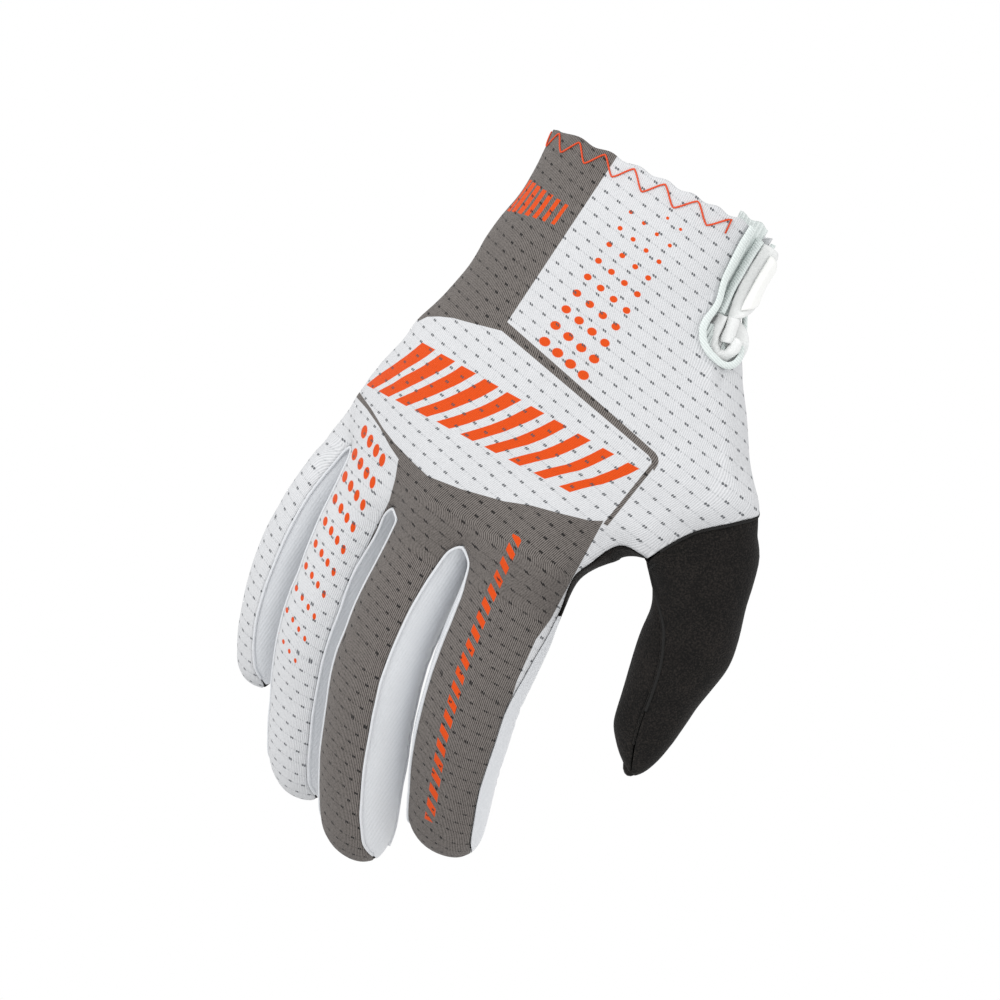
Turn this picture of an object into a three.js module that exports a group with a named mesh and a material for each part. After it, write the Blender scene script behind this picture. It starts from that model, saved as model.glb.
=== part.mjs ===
import * as THREE from "three";

// A filled right-hand riding glove, held up by its cuff with the fingers down.
// Millimetres. +Z runs up out of the wrist, the back of the hand faces -Y, the thumb is on +X,
// and the origin is the centre of the cuff opening.

// Driving sizes
const PALM_LENGTH = 100; // cuff edge down to the web between thumb and first finger
const PALM_BREADTH = 100; // nominal breadth over the knuckles
const PALM_DEPTH = 40; // nominal depth of the filled hand
const FINGER_LENGTH = 115; // the middle finger, knuckle to tip
const KNIT_WALL = 1.2;
const SUEDE_WALL = 1.3;
const HEM_WALL = 2.0;
const HEM_HEIGHT = 9;
const SEAM_GAP = 0.42; // gap between two panels that are sewn together
const SEAM_BEVEL = 0.5; // how much further back the inner face of a panel edge stands
const FOLD_BEVEL = 1.4; // the same where the web is folded sharply
const FOLD_REACH = 5; // how far from the web seam that holds
const LAYER_GAP = 0.34; // gap between two layers that lie on each other
const BINDING_WIDTH = 2.3;
const BINDING_RISE = 1.7;
const SEAM_ROLL_WIDTH = 1.9;
const SEAM_ROLL_RISE = 2.6;
const GUSSET_WALL = 1.1;
const GUSSET_TOP = 2.0; // how far the gusset stands out above the cuff edge
const STRAP_LENGTH = 36;
const STRAP_WIDTH = 24.6;
const STRAP_WALL = 1.3;
const STRAP_BORDER = 2.0; // plain border round the grip
const GRIP_WALL = 0.7;
const LOOP_PAD_WALL = 1.0;
const HOOK_PATCH_WALL = 0.9;

const HAND_SQUARENESS = 0.9; // 1 is an ellipse, less is squarer
const FINGER_SQUARENESS = 0.92;

const rad = THREE.MathUtils.degToRad;
const { smoothstep, lerp, clamp } = THREE.MathUtils;
const vec = (x, y, z) => new THREE.Vector3(x, y, z);
const share = (i, count) => i / count;
const signedPower = (value, power) => Math.sign(value) * Math.abs(value) ** power;

function table(columns, rows) {
  return rows.map((row) => Object.fromEntries(columns.map((name, i) => [name, row[i]])));
}

// Smooth reading of a table between its rows, without overshoot.
function slopeAt(rows, key, name, i) {
  const secant = (a, b) => (rows[b][name] - rows[a][name]) / (rows[b][key] - rows[a][key]);
  if (i === 0) return secant(0, 1);
  if (i === rows.length - 1) return secant(i - 1, i);
  const before = secant(i - 1, i);
  const after = secant(i, i + 1);
  return before * after <= 0 ? 0 : (2 * before * after) / (before + after);
}

function sample(rows, key, at, name) {
  const last = rows.length - 1;
  if (at <= rows[0][key]) return rows[0][name];
  if (at >= rows[last][key]) return rows[last][name];
  let i = 0;
  while (rows[i + 1][key] < at) i += 1;
  const span = rows[i + 1][key] - rows[i][key];
  const t = (at - rows[i][key]) / span;
  const h00 = 2 * t ** 3 - 3 * t ** 2 + 1;
  const h10 = t ** 3 - 2 * t ** 2 + t;
  const h01 = 3 * t ** 2 - 2 * t ** 3;
  const h11 = t ** 3 - t ** 2;
  return h00 * rows[i][name] + h10 * span * slopeAt(rows, key, name, i)
    + h01 * rows[i + 1][name] + h11 * span * slopeAt(rows, key, name, i + 1);
}

// Cross-sections of the hand, wrist to knuckles. down is a share of PALM_LENGTH, behind and
// depth are shares of PALM_DEPTH, across, half and cup are shares of PALM_BREADTH.
const handSections = table(
  ["down", "across", "behind", "half", "depth", "turn", "cup"],
  [
    [0.0, 0.0, 0.0, 0.38, 0.55, 0, 0.0],
    [0.15, 0.003, 0.0, 0.375, 0.5375, 0, 0.0],
    [0.33, 0.023, 0.0375, 0.43, 0.5125, 4, 0.0],
    [0.47, 0.06, 0.075, 0.49, 0.4875, 6.5, 0.01],
    [0.6, 0.079, 0.11, 0.55, 0.4675, 8, 0.02],
    [0.7, 0.09, 0.125, 0.604, 0.45, 8.5, 0.03],
    [0.76, 0.067, 0.12, 0.6, 0.4425, 8, 0.038],
    [0.85, -0.001, 0.1, 0.573, 0.425, 6, 0.05],
    [0.92, -0.035, 0.0875, 0.567, 0.42, 4.5, 0.065],
    [0.9775, -0.06, 0.075, 0.558, 0.4125, 3, 0.08],
    [1.02, -0.096, 0.08, 0.525, 0.4075, 3, 0.09],
    [1.07, -0.128, 0.0875, 0.505, 0.4, 2, 0.1],
  ],
);

// A point on the hand. down is a share of PALM_LENGTH, angle in degrees: 0 on the back of the
// hand, 90 on the thumb side, 180 in the palm.
function handPoint(down, angle) {
  const read = (name) => sample(handSections, "down", down, name);
  const turn = rad(read("turn"));
  const wide = signedPower(Math.sin(rad(angle)), HAND_SQUARENESS);
  const deep = -signedPower(Math.cos(rad(angle)), HAND_SQUARENESS);
  const u = read("half") * PALM_BREADTH * wide;
  const v = read("depth") * PALM_DEPTH * deep;
  const cup = wide < 0 ? read("cup") * PALM_BREADTH * wide * wide : 0;
  return vec(
    read("across") * PALM_BREADTH + u * Math.cos(turn) - v * Math.sin(turn),
    read("behind") * PALM_DEPTH + u * Math.sin(turn) + v * Math.cos(turn) + cup,
    -down * PALM_LENGTH,
  );
}

function handNormal(down, angle) {
  const turnStep = 1.5;
  const downStep = 0.01;
  const from = Math.max(down, downStep);
  const alongAngle = handPoint(from, angle + turnStep).sub(handPoint(from, angle - turnStep));
  const alongDown = handPoint(from + downStep, angle).sub(handPoint(from - downStep, angle));
  return alongDown.cross(alongAngle).normalize();
}

// A point held off the hand by lift mm. Above the cuff edge it goes straight up.
function liftedPoint(down, angle, lift) {
  return handPoint(Math.max(down, 0), angle)
    .addScaledVector(handNormal(down, angle), lift)
    .add(vec(0, 0, Math.max(0, -down) * PALM_LENGTH));
}

// Rows along every finger, as shares of its length from the crotch to the tip.
const fingerRows = [
  0, 0.03, 0.07, 0.12, 0.2, 0.3, 0.4, 0.49, 0.58, 0.68, 0.79, 0.89, 0.935, 0.968, 0.99, 1,
];
const LAST_STRIP_ROW = fingerRows.indexOf(0.968); // where the strips between the fingers end
const INDEX_STRIP_ROW = fingerRows.indexOf(0.12); // where the strip outside the first finger starts
const DOME_START = 0.89;
const TIP_FULLNESS = 0.93; // how far the width of the tip closes; 1 is a point

// Fingers, little to first. across and behind are shares of PALM_BREADTH, down of PALM_LENGTH,
// length of FINGER_LENGTH. outerCrotch and innerCrotch are shares of the finger's own length,
// on the little-finger side and on the thumb side. at is a share of the finger's length, bend
// and the seam angles are degrees, half and depth are shares of PALM_BREADTH.
const stationNames = ["at", "bend", "half", "depth"];
const seamNames = ["at", "backOuter", "backInner", "palmInner", "palmOuter"];
const fingers = [
  {
    name: "little", across: -0.575, behind: 0.15, down: 1.03, length: 0.75, splay: -12, roll: -25,
    outerCrotch: 0.03, innerCrotch: 0.05,
    stations: table(stationNames, [
      [0, 0, 0.085, 0.095], [0.25, 3, 0.088, 0.092], [0.42, 14, 0.09, 0.09],
      [0.6, 22, 0.088, 0.086], [0.75, 31, 0.083, 0.08], [0.89, 37, 0.078, 0.074],
      [1, 40, 0.078, 0.074],
    ]),
    seams: table(seamNames, [
      [0, -100, 46, 116, -100], [0.07, -100, 46, 122, -100], [0.2, -100, 42, 128, -100],
      [0.8, -98, 44, 128, -98], [0.89, -95, 50, 124, -95], [0.99, -90, 88, 92, -90],
      [1, -90, 88, 92, -90],
    ]),
  },
  {
    name: "ring", across: -0.396, behind: 0.055, down: 1.04, length: 0.985, splay: -3, roll: -8,
    outerCrotch: 0.03, innerCrotch: 0.115,
    stations: table(stationNames, [
      [0, 8, 0.12, 0.11], [0.35, 12, 0.12, 0.11], [0.48, 22, 0.12, 0.11],
      [0.6, 30, 0.118, 0.108], [0.8, 36, 0.112, 0.1], [0.89, 40, 0.106, 0.094],
      [1, 43, 0.104, 0.092],
    ]),
    seams: table(seamNames, [
      [0, -56, 54, 116, -116], [0.07, -56, 60, 120, -122], [0.2, -52, 54, 128, -128],
      [0.8, -52, 52, 128, -128], [0.89, -57, 56, 124, -124], [0.99, -88, 88, 92, -92],
      [1, -88, 88, 92, -92],
    ]),
  },
  {
    name: "middle", across: -0.114, behind: 0.005, down: 1.1, length: 1, splay: -1, roll: -5,
    outerCrotch: 0.063, innerCrotch: 0.063,
    stations: table(stationNames, [
      [0, 5, 0.131, 0.116], [0.36, 7, 0.132, 0.116], [0.46, 24, 0.135, 0.116],
      [0.56, 32, 0.134, 0.114], [0.78, 34, 0.127, 0.104], [0.89, 43, 0.118, 0.096],
      [1, 46, 0.114, 0.094],
    ]),
    seams: table(seamNames, [
      [0, -54, 54, 116, -116], [0.07, -60, 48, 120, -122], [0.2, -58, 39, 128, -128],
      [0.8, -57, 39, 128, -128], [0.89, -60, 46, 124, -124], [0.99, -88, 88, 92, -92],
      [1, -88, 88, 92, -92],
    ]),
  },
  {
    name: "index", across: 0.182, behind: 0.015, down: 1.1, length: 0.885, splay: 0.4, roll: 6,
    outerCrotch: 0.073, innerCrotch: 0.012,
    stations: table(stationNames, [
      [0, 9, 0.166, 0.134], [0.15, 11, 0.158, 0.126], [0.35, 14, 0.154, 0.121],
      [0.5, 24, 0.15, 0.119], [0.62, 33, 0.144, 0.112], [0.75, 39, 0.135, 0.102],
      [0.89, 50, 0.124, 0.092], [1, 56, 0.119, 0.09],
    ]),
    seams: table(seamNames, [
      [0, -56, 87, 87, -116], [0.07, -48, 89, 89, -122], [0.12, -42, 87, 94, -126],
      [0.2, -40, 80, 106, -128], [0.35, -40, 70, 116, -130], [0.5, -40, 66, 121, -130],
      [0.8, -42, 64, 122, -130], [0.89, -48, 68, 118, -124], [0.99, -88, 88, 92, -92],
      [1, -88, 88, 92, -92],
    ]),
  },
];
const [LITTLE, RING, MIDDLE, INDEX] = fingers.map((_, i) => i);
const WALK_STEPS = 120;

// The bent centre line of a finger, walked in short steps from its base.
function walkFinger(finger) {
  const splay = rad(finger.splay);
  const roll = rad(finger.roll);
  const straight = vec(Math.sin(splay), 0, -Math.cos(splay));
  const flatSide = vec(Math.cos(splay), 0, Math.sin(splay));
  const flatUp = vec(0, -1, 0);
  const up = flatUp.clone().multiplyScalar(Math.cos(roll)).addScaledVector(flatSide, Math.sin(roll));
  const side = flatSide.clone().multiplyScalar(Math.cos(roll)).addScaledVector(flatUp, -Math.sin(roll));
  const place = vec(
    finger.across * PALM_BREADTH,
    finger.behind * PALM_BREADTH,
    -finger.down * PALM_LENGTH,
  );
  const frames = [];
  for (let i = 0; i <= WALK_STEPS; i += 1) {
    const bend = rad(sample(finger.stations, "at", share(i, WALK_STEPS), "bend"));
    const along = straight.clone().multiplyScalar(Math.cos(bend)).addScaledVector(up, -Math.sin(bend));
    const bentUp = up.clone().multiplyScalar(Math.cos(bend)).addScaledVector(straight, Math.sin(bend));
    frames.push({ place: place.clone(), up: bentUp, side });
    place.addScaledVector(along, (finger.length * FINGER_LENGTH) / WALK_STEPS);
  }
  return frames;
}

for (const finger of fingers) finger.frames = walkFinger(finger);

function fingerFrame(finger, at) {
  const exact = clamp(at, 0, 1) * WALK_STEPS;
  const i = Math.min(Math.floor(exact), WALK_STEPS - 1);
  const a = finger.frames[i];
  const b = finger.frames[i + 1];
  const t = exact - i;
  return {
    place: a.place.clone().lerp(b.place, t),
    up: a.up.clone().lerp(b.up, t).normalize(),
    side: a.side,
  };
}

// A point on a finger. at is the share of its length, angle as on the hand.
function fingerPoint(finger, at, angle) {
  const frame = fingerFrame(finger, at);
  const dome = clamp((at - DOME_START) / (1 - DOME_START), 0, 1);
  const closeDeep = Math.sqrt(1 - dome * dome);
  const closeWide = Math.sqrt(1 - (TIP_FULLNESS * dome) ** 2);
  const half = sample(finger.stations, "at", at, "half") * PALM_BREADTH * closeWide;
  const depth = sample(finger.stations, "at", at, "depth") * PALM_BREADTH * closeDeep;
  const wide = signedPower(Math.sin(rad(angle)), FINGER_SQUARENESS);
  const deep = signedPower(Math.cos(rad(angle)), FINGER_SQUARENESS);
  return frame.place
    .addScaledVector(frame.side, half * wide)
    .addScaledVector(frame.up, depth * deep);
}

// Share of the finger's length at a row, slanted between its two crotches.
function rowShare(finger, row, across) {
  return lerp(lerp(finger.outerCrotch, finger.innerCrotch, across), 1, fingerRows[row]);
}

const seamAngle = (finger, row, name) => sample(finger.seams, "at", fingerRows[row], name);

// Crotches between neighbours. toward is how far the point leans to the inner finger, 0 to 1.
const crotches = table(["outer", "inner", "toward"], [
  [LITTLE, RING, 0.45],
  [RING, MIDDLE, 0.4],
  [MIDDLE, INDEX, 0.4],
]);

function crotchPoint(crotch, side) {
  const outer = fingers[crotch.outer];
  const inner = fingers[crotch.inner];
  const outerAngle = seamAngle(outer, 0, `${side}Inner`);
  const innerAngle = seamAngle(inner, 0, `${side}Outer`);
  return fingerPoint(outer, rowShare(outer, 0, 1), outerAngle)
    .lerp(fingerPoint(inner, rowShare(inner, 0, 0), innerAngle), crotch.toward);
}

// Point of a finger's back or palm tongue: column runs 0 to 1 toward the thumb side.
function tonguePoint(index, row, column, side) {
  const finger = fingers[index];
  if (row === 0) {
    const before = crotches.find((crotch) => crotch.inner === index);
    const after = crotches.find((crotch) => crotch.outer === index);
    if (column === 0 && before) return crotchPoint(before, side);
    if (column === 1 && after) return crotchPoint(after, side);
  }
  const outer = seamAngle(finger, row, `${side}Outer`) + (side === "palm" ? 360 : 0);
  const inner = seamAngle(finger, row, `${side}Inner`);
  const point = fingerPoint(finger, rowShare(finger, row, column), lerp(outer, inner, column));
  if (row < fingerRows.length - 1) return point;
  const lip = SEAM_GAP * (side === "back" ? 0.5 : -0.5);
  return point.addScaledVector(fingerFrame(finger, 1).up, lip);
}

// An outer skin of triangles that is turned into a closed solid with a wall.
class Skin {
  constructor(flipped = false) {
    this.flipped = flipped;
    this.points = [];
    this.faces = [];
  }

  add(point) {
    this.points.push(point.clone());
    return this.points.length - 1;
  }

  triangle(a, b, c) {
    this.faces.push(this.flipped ? [a, c, b] : [a, b, c]);
  }

  quad(a, b, c, d) {
    const short = this.points[a].distanceTo(this.points[c]) <= this.points[b].distanceTo(this.points[d]);
    this.triangle(a, b, short ? c : d);
    this.triangle(short ? a : b, c, d);
  }

  // rows of point numbers; row after row goes down, columns go to the right seen from outside
  sheet(rows) {
    for (let r = 0; r + 1 < rows.length; r += 1) {
      for (let c = 0; c + 1 < rows[r].length; c += 1) {
        this.quad(rows[r][c], rows[r + 1][c], rows[r + 1][c + 1], rows[r][c + 1]);
      }
    }
  }

  openEdges() {
    const edges = new Map();
    for (const [a, b, c] of this.faces) {
      for (const edge of [[a, b], [b, c], [c, a]]) edges.set(edge.join(), edge);
    }
    return [...edges.values()].filter(([from, to]) => !edges.has([to, from].join()));
  }

  normals() {
    const normals = this.points.map(() => vec(0, 0, 0));
    for (const [a, b, c] of this.faces) {
      const ab = this.points[b].clone().sub(this.points[a]);
      const ac = this.points[c].clone().sub(this.points[a]);
      const normal = ab.cross(ac);
      for (const corner of [a, b, c]) normals[corner].add(normal);
    }
    return normals.map((normal) => normal.normalize());
  }

  // For each point of an open edge, the way into the sheet, longer at a corner.
  inwardMoves() {
    const normals = this.normals();
    const moves = new Map();
    for (const [from, to] of this.openEdges()) {
      const along = this.points[to].clone().sub(this.points[from]).normalize();
      for (const corner of [from, to]) {
        const sum = moves.get(corner) ?? vec(0, 0, 0);
        moves.set(corner, sum.add(normals[corner].clone().cross(along).normalize()));
      }
    }
    for (const sum of moves.values()) sum.setLength(1 / clamp(sum.length() / 2, 0.6, 1));
    return moves;
  }

  // Evens out the listed points that lie inside the sheet; each second pass undoes shrinking.
  relax(ids, rounds, strength) {
    const around = new Map(ids.map((id) => [id, new Set()]));
    for (const face of this.faces) {
      for (const id of face.filter((corner) => around.has(corner))) {
        for (const other of face) if (other !== id) around.get(id).add(other);
      }
    }
    for (const edge of this.openEdges()) edge.forEach((id) => around.delete(id));
    for (let round = 0; round < rounds; round += 1) {
      const moved = [...around].map(([id, others]) => {
        const middle = vec(0, 0, 0);
        for (const other of others) middle.addScaledVector(this.points[other], 1 / others.size);
        return [id, this.points[id].clone().lerp(middle, round % 2 === 0 ? strength : -0.8 * strength)];
      });
      for (const [id, point] of moved) this.points[id].copy(point);
    }
  }

  // Moves the whole sheet off along its own normals.
  raise(lift) {
    this.normals().forEach((normal, i) => this.points[i].addScaledVector(normal, lift));
    return this;
  }

  drawIn(inset, keep = () => false) {
    for (const [corner, move] of this.inwardMoves()) {
      if (!keep(this.points[corner])) this.points[corner].addScaledVector(move, inset);
    }
    return this;
  }

  solid(wallAt, bevelAt = () => 0) {
    const normals = this.normals();
    const moves = this.inwardMoves();
    const count = this.points.length;
    const inner = this.points.map((point, i) => {
      const moved = point.clone().addScaledVector(normals[i], -wallAt(point));
      return moves.has(i) ? moved.addScaledVector(moves.get(i), bevelAt(point)) : moved;
    });
    const faces = [...this.faces, ...this.faces.map(([a, b, c]) => [a + count, c + count, b + count])];
    for (const [from, to] of this.openEdges()) {
      faces.push([to, from, from + count], [to, from + count, to + count]);
    }
    return { points: [...this.points, ...inner], faces };
  }
}

// Rows of the hand in shares of PALM_LENGTH.
const SLIT_END = 0.392;
const HOLE_TOP = 0.66;
const handRows = [
  0, 0.045, 0.09, 0.14, 0.19, 0.235, 0.275, 0.31, 0.345, 0.37, 0.385, SLIT_END, 0.43, 0.48, 0.54,
  0.6, HOLE_TOP, 0.69, 0.72, 0.755, 0.795, 0.84, 0.89, 0.935,
];

// Long edges on the thumb side by height, in degrees: the two sides of the wrist slit, then the
// edges of the back panel and of the palm panel, which part round the thumb opening.
const sideEdges = table(["down", "slitBack", "slitPalm", "back", "palm"], [
  [0, 72, 101, 130, 130],
  [0.12, 72, 101, 130, 130],
  [0.235, 69, 100, 130, 130],
  [0.275, 62, 97, 130, 130],
  [0.31, 56, 91, 129, 129],
  [0.345, 55, 86, 128, 128],
  [0.37, 56.5, 77, 128, 128],
  [0.385, 59, 70, 127, 127],
  [SLIT_END, 64, 64, 127, 127],
  [0.54, 64, 64, 125, 125],
  [HOLE_TOP, 64, 64, 125, 125],
  [0.69, 63, 63, 108, 134],
  [0.72, 62, 62, 95, 141],
  [0.755, 62, 62, 83, 145],
  [0.795, 62, 62, 81, 146],
  [0.84, 63, 63, 83, 143],
  [0.89, 64, 64, 84, 139],
  [0.935, 66, 66, 86, 132],
]);
const edgeAngle = (down, name) => sample(sideEdges, "down", down, name);

// The web between first finger and thumb, where back and palm are sewn together. at runs from
// the finger to the thumb, across and behind are shares of PALM_BREADTH, down of PALM_LENGTH.
const webSeam = table(["at", "across", "behind", "down"], [
  [0, 0.413, 0.014, 1.034],
  [0.25, 0.43, 0.02, 1.006],
  [0.5, 0.449, 0.03, 0.986],
  [0.75, 0.478, 0.045, 0.979],
  [1, 0.497, 0.073, 0.9775],
]);
const webBulge = vec(0.03, 0.04, -0.03); // of the palm below the web, shares of PALM_BREADTH

function webPoint(at) {
  const read = (name) => sample(webSeam, "at", at, name);
  return vec(read("across") * PALM_BREADTH, read("behind") * PALM_BREADTH, -read("down") * PALM_LENGTH);
}

function seamBevelAt(point) {
  const distance = Math.min(...webSeam.map((row) => webPoint(row.at).distanceTo(point)));
  return lerp(FOLD_BEVEL, SEAM_BEVEL, smoothstep(distance, FOLD_REACH / 2, FOLD_REACH));
}

// Angles on the hand of the lines that run to the crotches, little-finger side first.
const ULNAR_SEAM = -100;
const combs = {
  back: { lines: [ULNAR_SEAM, -63, -26, 7, 56], counts: [4, 4, 5, 6], wrap: [1] },
  palm: { lines: [ULNAR_SEAM + 360, 243, 210, 181, 150], counts: [3, 3, 3, 5], wrap: [1 / 3, 2 / 3, 1] },
};
const KNUCKLE_ROUNDS = 8; // smoothing between hand and fingers
const KNUCKLE_STRENGTH = 0.45;
const SIDE_COLUMNS = 3; // columns on each side of the slit line
const sideSteps = [1, 2, 3].map((i) => share(i, SIDE_COLUMNS));
const FOLD_MARGIN = 6; // degrees kept between the finger columns and the slit

const lastRows = table(["angle", "down"], [[-63, 0.97], [7, 0.985], [40, 1.0], [56, 1.03]]);
const lastRowDown = (angle) => sample(lastRows, "angle", Math.min(angle, 180 - angle), "down");

function fingerColumns(comb) {
  const columns = [];
  comb.counts.forEach((count, finger) => {
    for (let i = 0; i < count; i += 1) columns.push({ finger, t: share(i, count) });
  });
  columns.push({ finger: INDEX, t: 1 });
  return columns;
}

// Angle of a finger column on the hand; the first finger's columns give way to the slit.
function columnAngle(side, column, down) {
  const { lines } = combs[side];
  const slitLimit = edgeAngle(down, "slitBack") - FOLD_MARGIN;
  const end = side === "back" && column.finger === INDEX
    ? Math.min(lines[4], slitLimit)
    : lines[column.finger + 1];
  return lerp(lines[column.finger], end, column.t);
}

// Lower end of a finger column: two points between the last hand row and the finger's first.
function columnEnd(side, column, above, last) {
  const below = [0, 1].map((row) => tonguePoint(column.finger, row, column.t, side));
  const knots = [above, last, ...below];
  const curve = new THREE.CatmullRomCurve3(knots, false, "chordal");
  return [1 / 3, 2 / 3].map((t) => curve.getPoint((1 + t) / 3));
}

// The comb-shaped skin of the back panel or the palm panel: a hand with four tongues.
function combSkin(side) {
  const comb = combs[side];
  const skin = new Skin(side === "palm");
  const columns = fingerColumns(comb);
  const fingerIds = [];
  const slitIds = [];
  const edgeIds = [];
  for (const down of handRows) {
    const row = columns.map((column) => skin.add(handPoint(down, columnAngle(side, column, down))));
    const foldAngle = columnAngle(side, columns[columns.length - 1], down);
    const edge = edgeAngle(down, side);
    if (side === "palm") {
      const beside = sideSteps.map((t) => skin.add(handPoint(down, lerp(foldAngle, edge, t))));
      fingerIds.push([...row, ...beside]);
      edgeIds.push(beside[beside.length - 1]);
      continue;
    }
    const slitBack = edgeAngle(down, "slitBack");
    const slitPalm = edgeAngle(down, "slitPalm");
    const left = sideSteps.map((t) => skin.add(handPoint(down, lerp(foldAngle, slitBack, t))));
    const open = down < SLIT_END;
    const first = open ? skin.add(handPoint(down, slitPalm)) : left[SIDE_COLUMNS - 1];
    const right = [first, ...sideSteps.map((t) => skin.add(handPoint(down, lerp(slitPalm, edge, t))))];
    fingerIds.push([...row, ...left]);
    slitIds.push(right);
    edgeIds.push(right[SIDE_COLUMNS]);
  }

  // Round the web: the last rows of the hand.
  const startDown = handRows[handRows.length - 1];
  const startIds = fingerIds[fingerIds.length - 1];
  const webCount = side === "palm" ? SIDE_COLUMNS : 2 * SIDE_COLUMNS;
  const wrapPoint = (start, end, t, bulge) => start.clone().lerp(end, t)
    .addScaledVector(webBulge, 4 * t * (1 - t) * bulge * PALM_BREADTH);
  const startPoints = side === "palm"
    ? startIds.map((id) => skin.points[id])
    : [...startIds, ...slitIds[slitIds.length - 1].slice(1)].map((id) => skin.points[id]);
  let aboveLast = startPoints;
  for (const t of comb.wrap) {
    const points = startPoints.map((start, c) => {
      const column = columns[c];
      if (column && column.t < 1 && column.finger === INDEX && side === "palm") {
        const end = handPoint(1.0, lerp(combs.palm.lines[3], 100, column.t));
        return wrapPoint(start, end, t, column.t ** 3);
      }
      if (column && !(column.finger === INDEX && column.t === 1)) {
        const angle = columnAngle(side, column, startDown);
        return handPoint(lerp(startDown, lastRowDown(angle), t), angle);
      }
      const web = share(c - columns.length + 1, webCount);
      return wrapPoint(start, webPoint(web), t, side === "palm" ? lerp(1, 0.2, web) : 0);
    });
    const ids = points.map((point) => skin.add(point));
    if (side === "palm") {
      fingerIds.push(ids);
    } else {
      fingerIds.push(ids.slice(0, startIds.length));
      slitIds.push(ids.slice(startIds.length - 1));
    }
    edgeIds.push(ids[ids.length - 1]);
    if (t < 1) aboveLast = points;
  }
  skin.sheet(fingerIds);
  if (side === "back") skin.sheet(slitIds);

  // Down to the crotches, then the four tongues.
  const lastIds = fingerIds[fingerIds.length - 1].slice(0, columns.length);
  const ends = columns.map((column, c) => {
    const last = skin.points[lastIds[c]];
    const isSeam = column.finger === INDEX && column.t === 1;
    const wraps = side === "palm" && column.finger === INDEX;
    const above = isSeam ? webPoint(0.25) : (wraps ? aboveLast : startPoints)[c];
    return columnEnd(side, column, above, last);
  });
  const firstIds = columns.map((column) => skin.add(tonguePoint(column.finger, 0, column.t, side)));
  const endIds = [0, 1].map((i) => ends.map((end) => skin.add(end[i])));
  skin.sheet([lastIds, ...endIds, firstIds]);
  const lowest = [...fingerIds.slice(-3), ...slitIds.slice(-2)];
  const knuckleIds = [...lowest.flat(), ...endIds.flat(), ...firstIds];
  let start = 0;
  comb.counts.forEach((count, finger) => {
    const rows = [firstIds.slice(start, start + count + 1)];
    for (let row = 1; row < fingerRows.length; row += 1) {
      rows.push(Array.from({ length: count + 1 }, (_, i) => skin.add(
        tonguePoint(finger, row, share(i, count), side),
      )));
    }
    skin.sheet(rows);
    knuckleIds.push(...rows[1], ...rows[2]);
    start += count;
  });
  skin.relax([...new Set(knuckleIds)], KNUCKLE_ROUNDS, KNUCKLE_STRENGTH);
  const holeFrom = handRows.indexOf(HOLE_TOP);
  const hole = edgeIds.slice(holeFrom).map((id) => skin.points[id].clone());
  return { skin, hole };
}

// The strip between two fingers: down one finger's side, across the web, down the other's.
function fourchetteSkin(crotch) {
  const skin = new Skin();
  const columns = 3;
  const sideRow = (finger, row, isOuter) => Array.from({ length: columns + 1 }, (_, i) => {
    const t = share(i, columns);
    const from = seamAngle(finger, row, isOuter ? "backInner" : "backOuter");
    const to = seamAngle(finger, row, isOuter ? "palmInner" : "palmOuter");
    return skin.add(fingerPoint(finger, rowShare(finger, row, isOuter ? 1 : 0), lerp(from, to, t)));
  });
  const web = Array.from({ length: columns + 1 }, (_, i) => skin.add(
    crotchPoint(crotch, "back").lerp(crotchPoint(crotch, "palm"), share(i, columns)),
  ));
  const rows = Array.from({ length: LAST_STRIP_ROW }, (_, i) => i + 1);
  const outerRows = rows.map((row) => sideRow(fingers[crotch.outer], row, true));
  const innerRows = rows.map((row) => sideRow(fingers[crotch.inner], row, false));
  skin.sheet([...outerRows.reverse(), web, ...innerRows].map((row) => row.reverse()));
  return skin;
}

// The strip on the thumb side of the first finger, which starts as a point in the side seam.
function indexStripSkin() {
  const skin = new Skin();
  const columns = 3;
  const finger = fingers[INDEX];
  const rows = [];
  for (let row = INDEX_STRIP_ROW; row <= LAST_STRIP_ROW; row += 1) {
    rows.push(Array.from({ length: columns + 1 }, (_, i) => skin.add(fingerPoint(
      finger,
      rowShare(finger, row, 1),
      lerp(seamAngle(finger, row, "backInner"), seamAngle(finger, row, "palmInner"), share(i, columns)),
    ))));
  }
  skin.sheet(rows);
  return skin;
}

// Rings of the thumb. They stand square to a line of sight that is turned by VIEW_TURN from
// the back of the hand. right and down place the centre, away is its depth, half and depth are
// the half sizes, tilt and seam are degrees. right, away, half and depth are shares of
// PALM_BREADTH, down of PALM_LENGTH.
const VIEW_TURN = 30;
const thumbRings = table(["right", "down", "away", "half", "depth", "tilt", "seam", "rear"], [
  [0.607, 0.928, -0.1, 0.138, 0.11, 36, 8, 240],
  [0.665, 1.045, -0.085, 0.137, 0.102, 10.5, 30, 247],
  [0.677, 1.135, -0.07, 0.142, 0.1, -2, 57, 255],
  [0.674, 1.25, -0.05, 0.121, 0.092, -5, 76, 262],
  [0.68, 1.355, -0.03, 0.101, 0.078, -8, 81, 266],
  [0.692, 1.453, -0.01, 0.073, 0.058, -10, 86, 269],
  [0.703, 1.505, -0.002, 0.044, 0.036, -10, 90, 270],
  [0.713, 1.532, 0.002, 0.012, 0.02, -10, 90, 270],
]);
const thumbSteps = [2, 2, 2, 2, 2, 2, 1, 1];

const sightRight = vec(Math.cos(rad(VIEW_TURN)), Math.sin(rad(VIEW_TURN)), 0);
const sightAway = vec(-Math.sin(rad(VIEW_TURN)), Math.cos(rad(VIEW_TURN)), 0);

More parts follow.
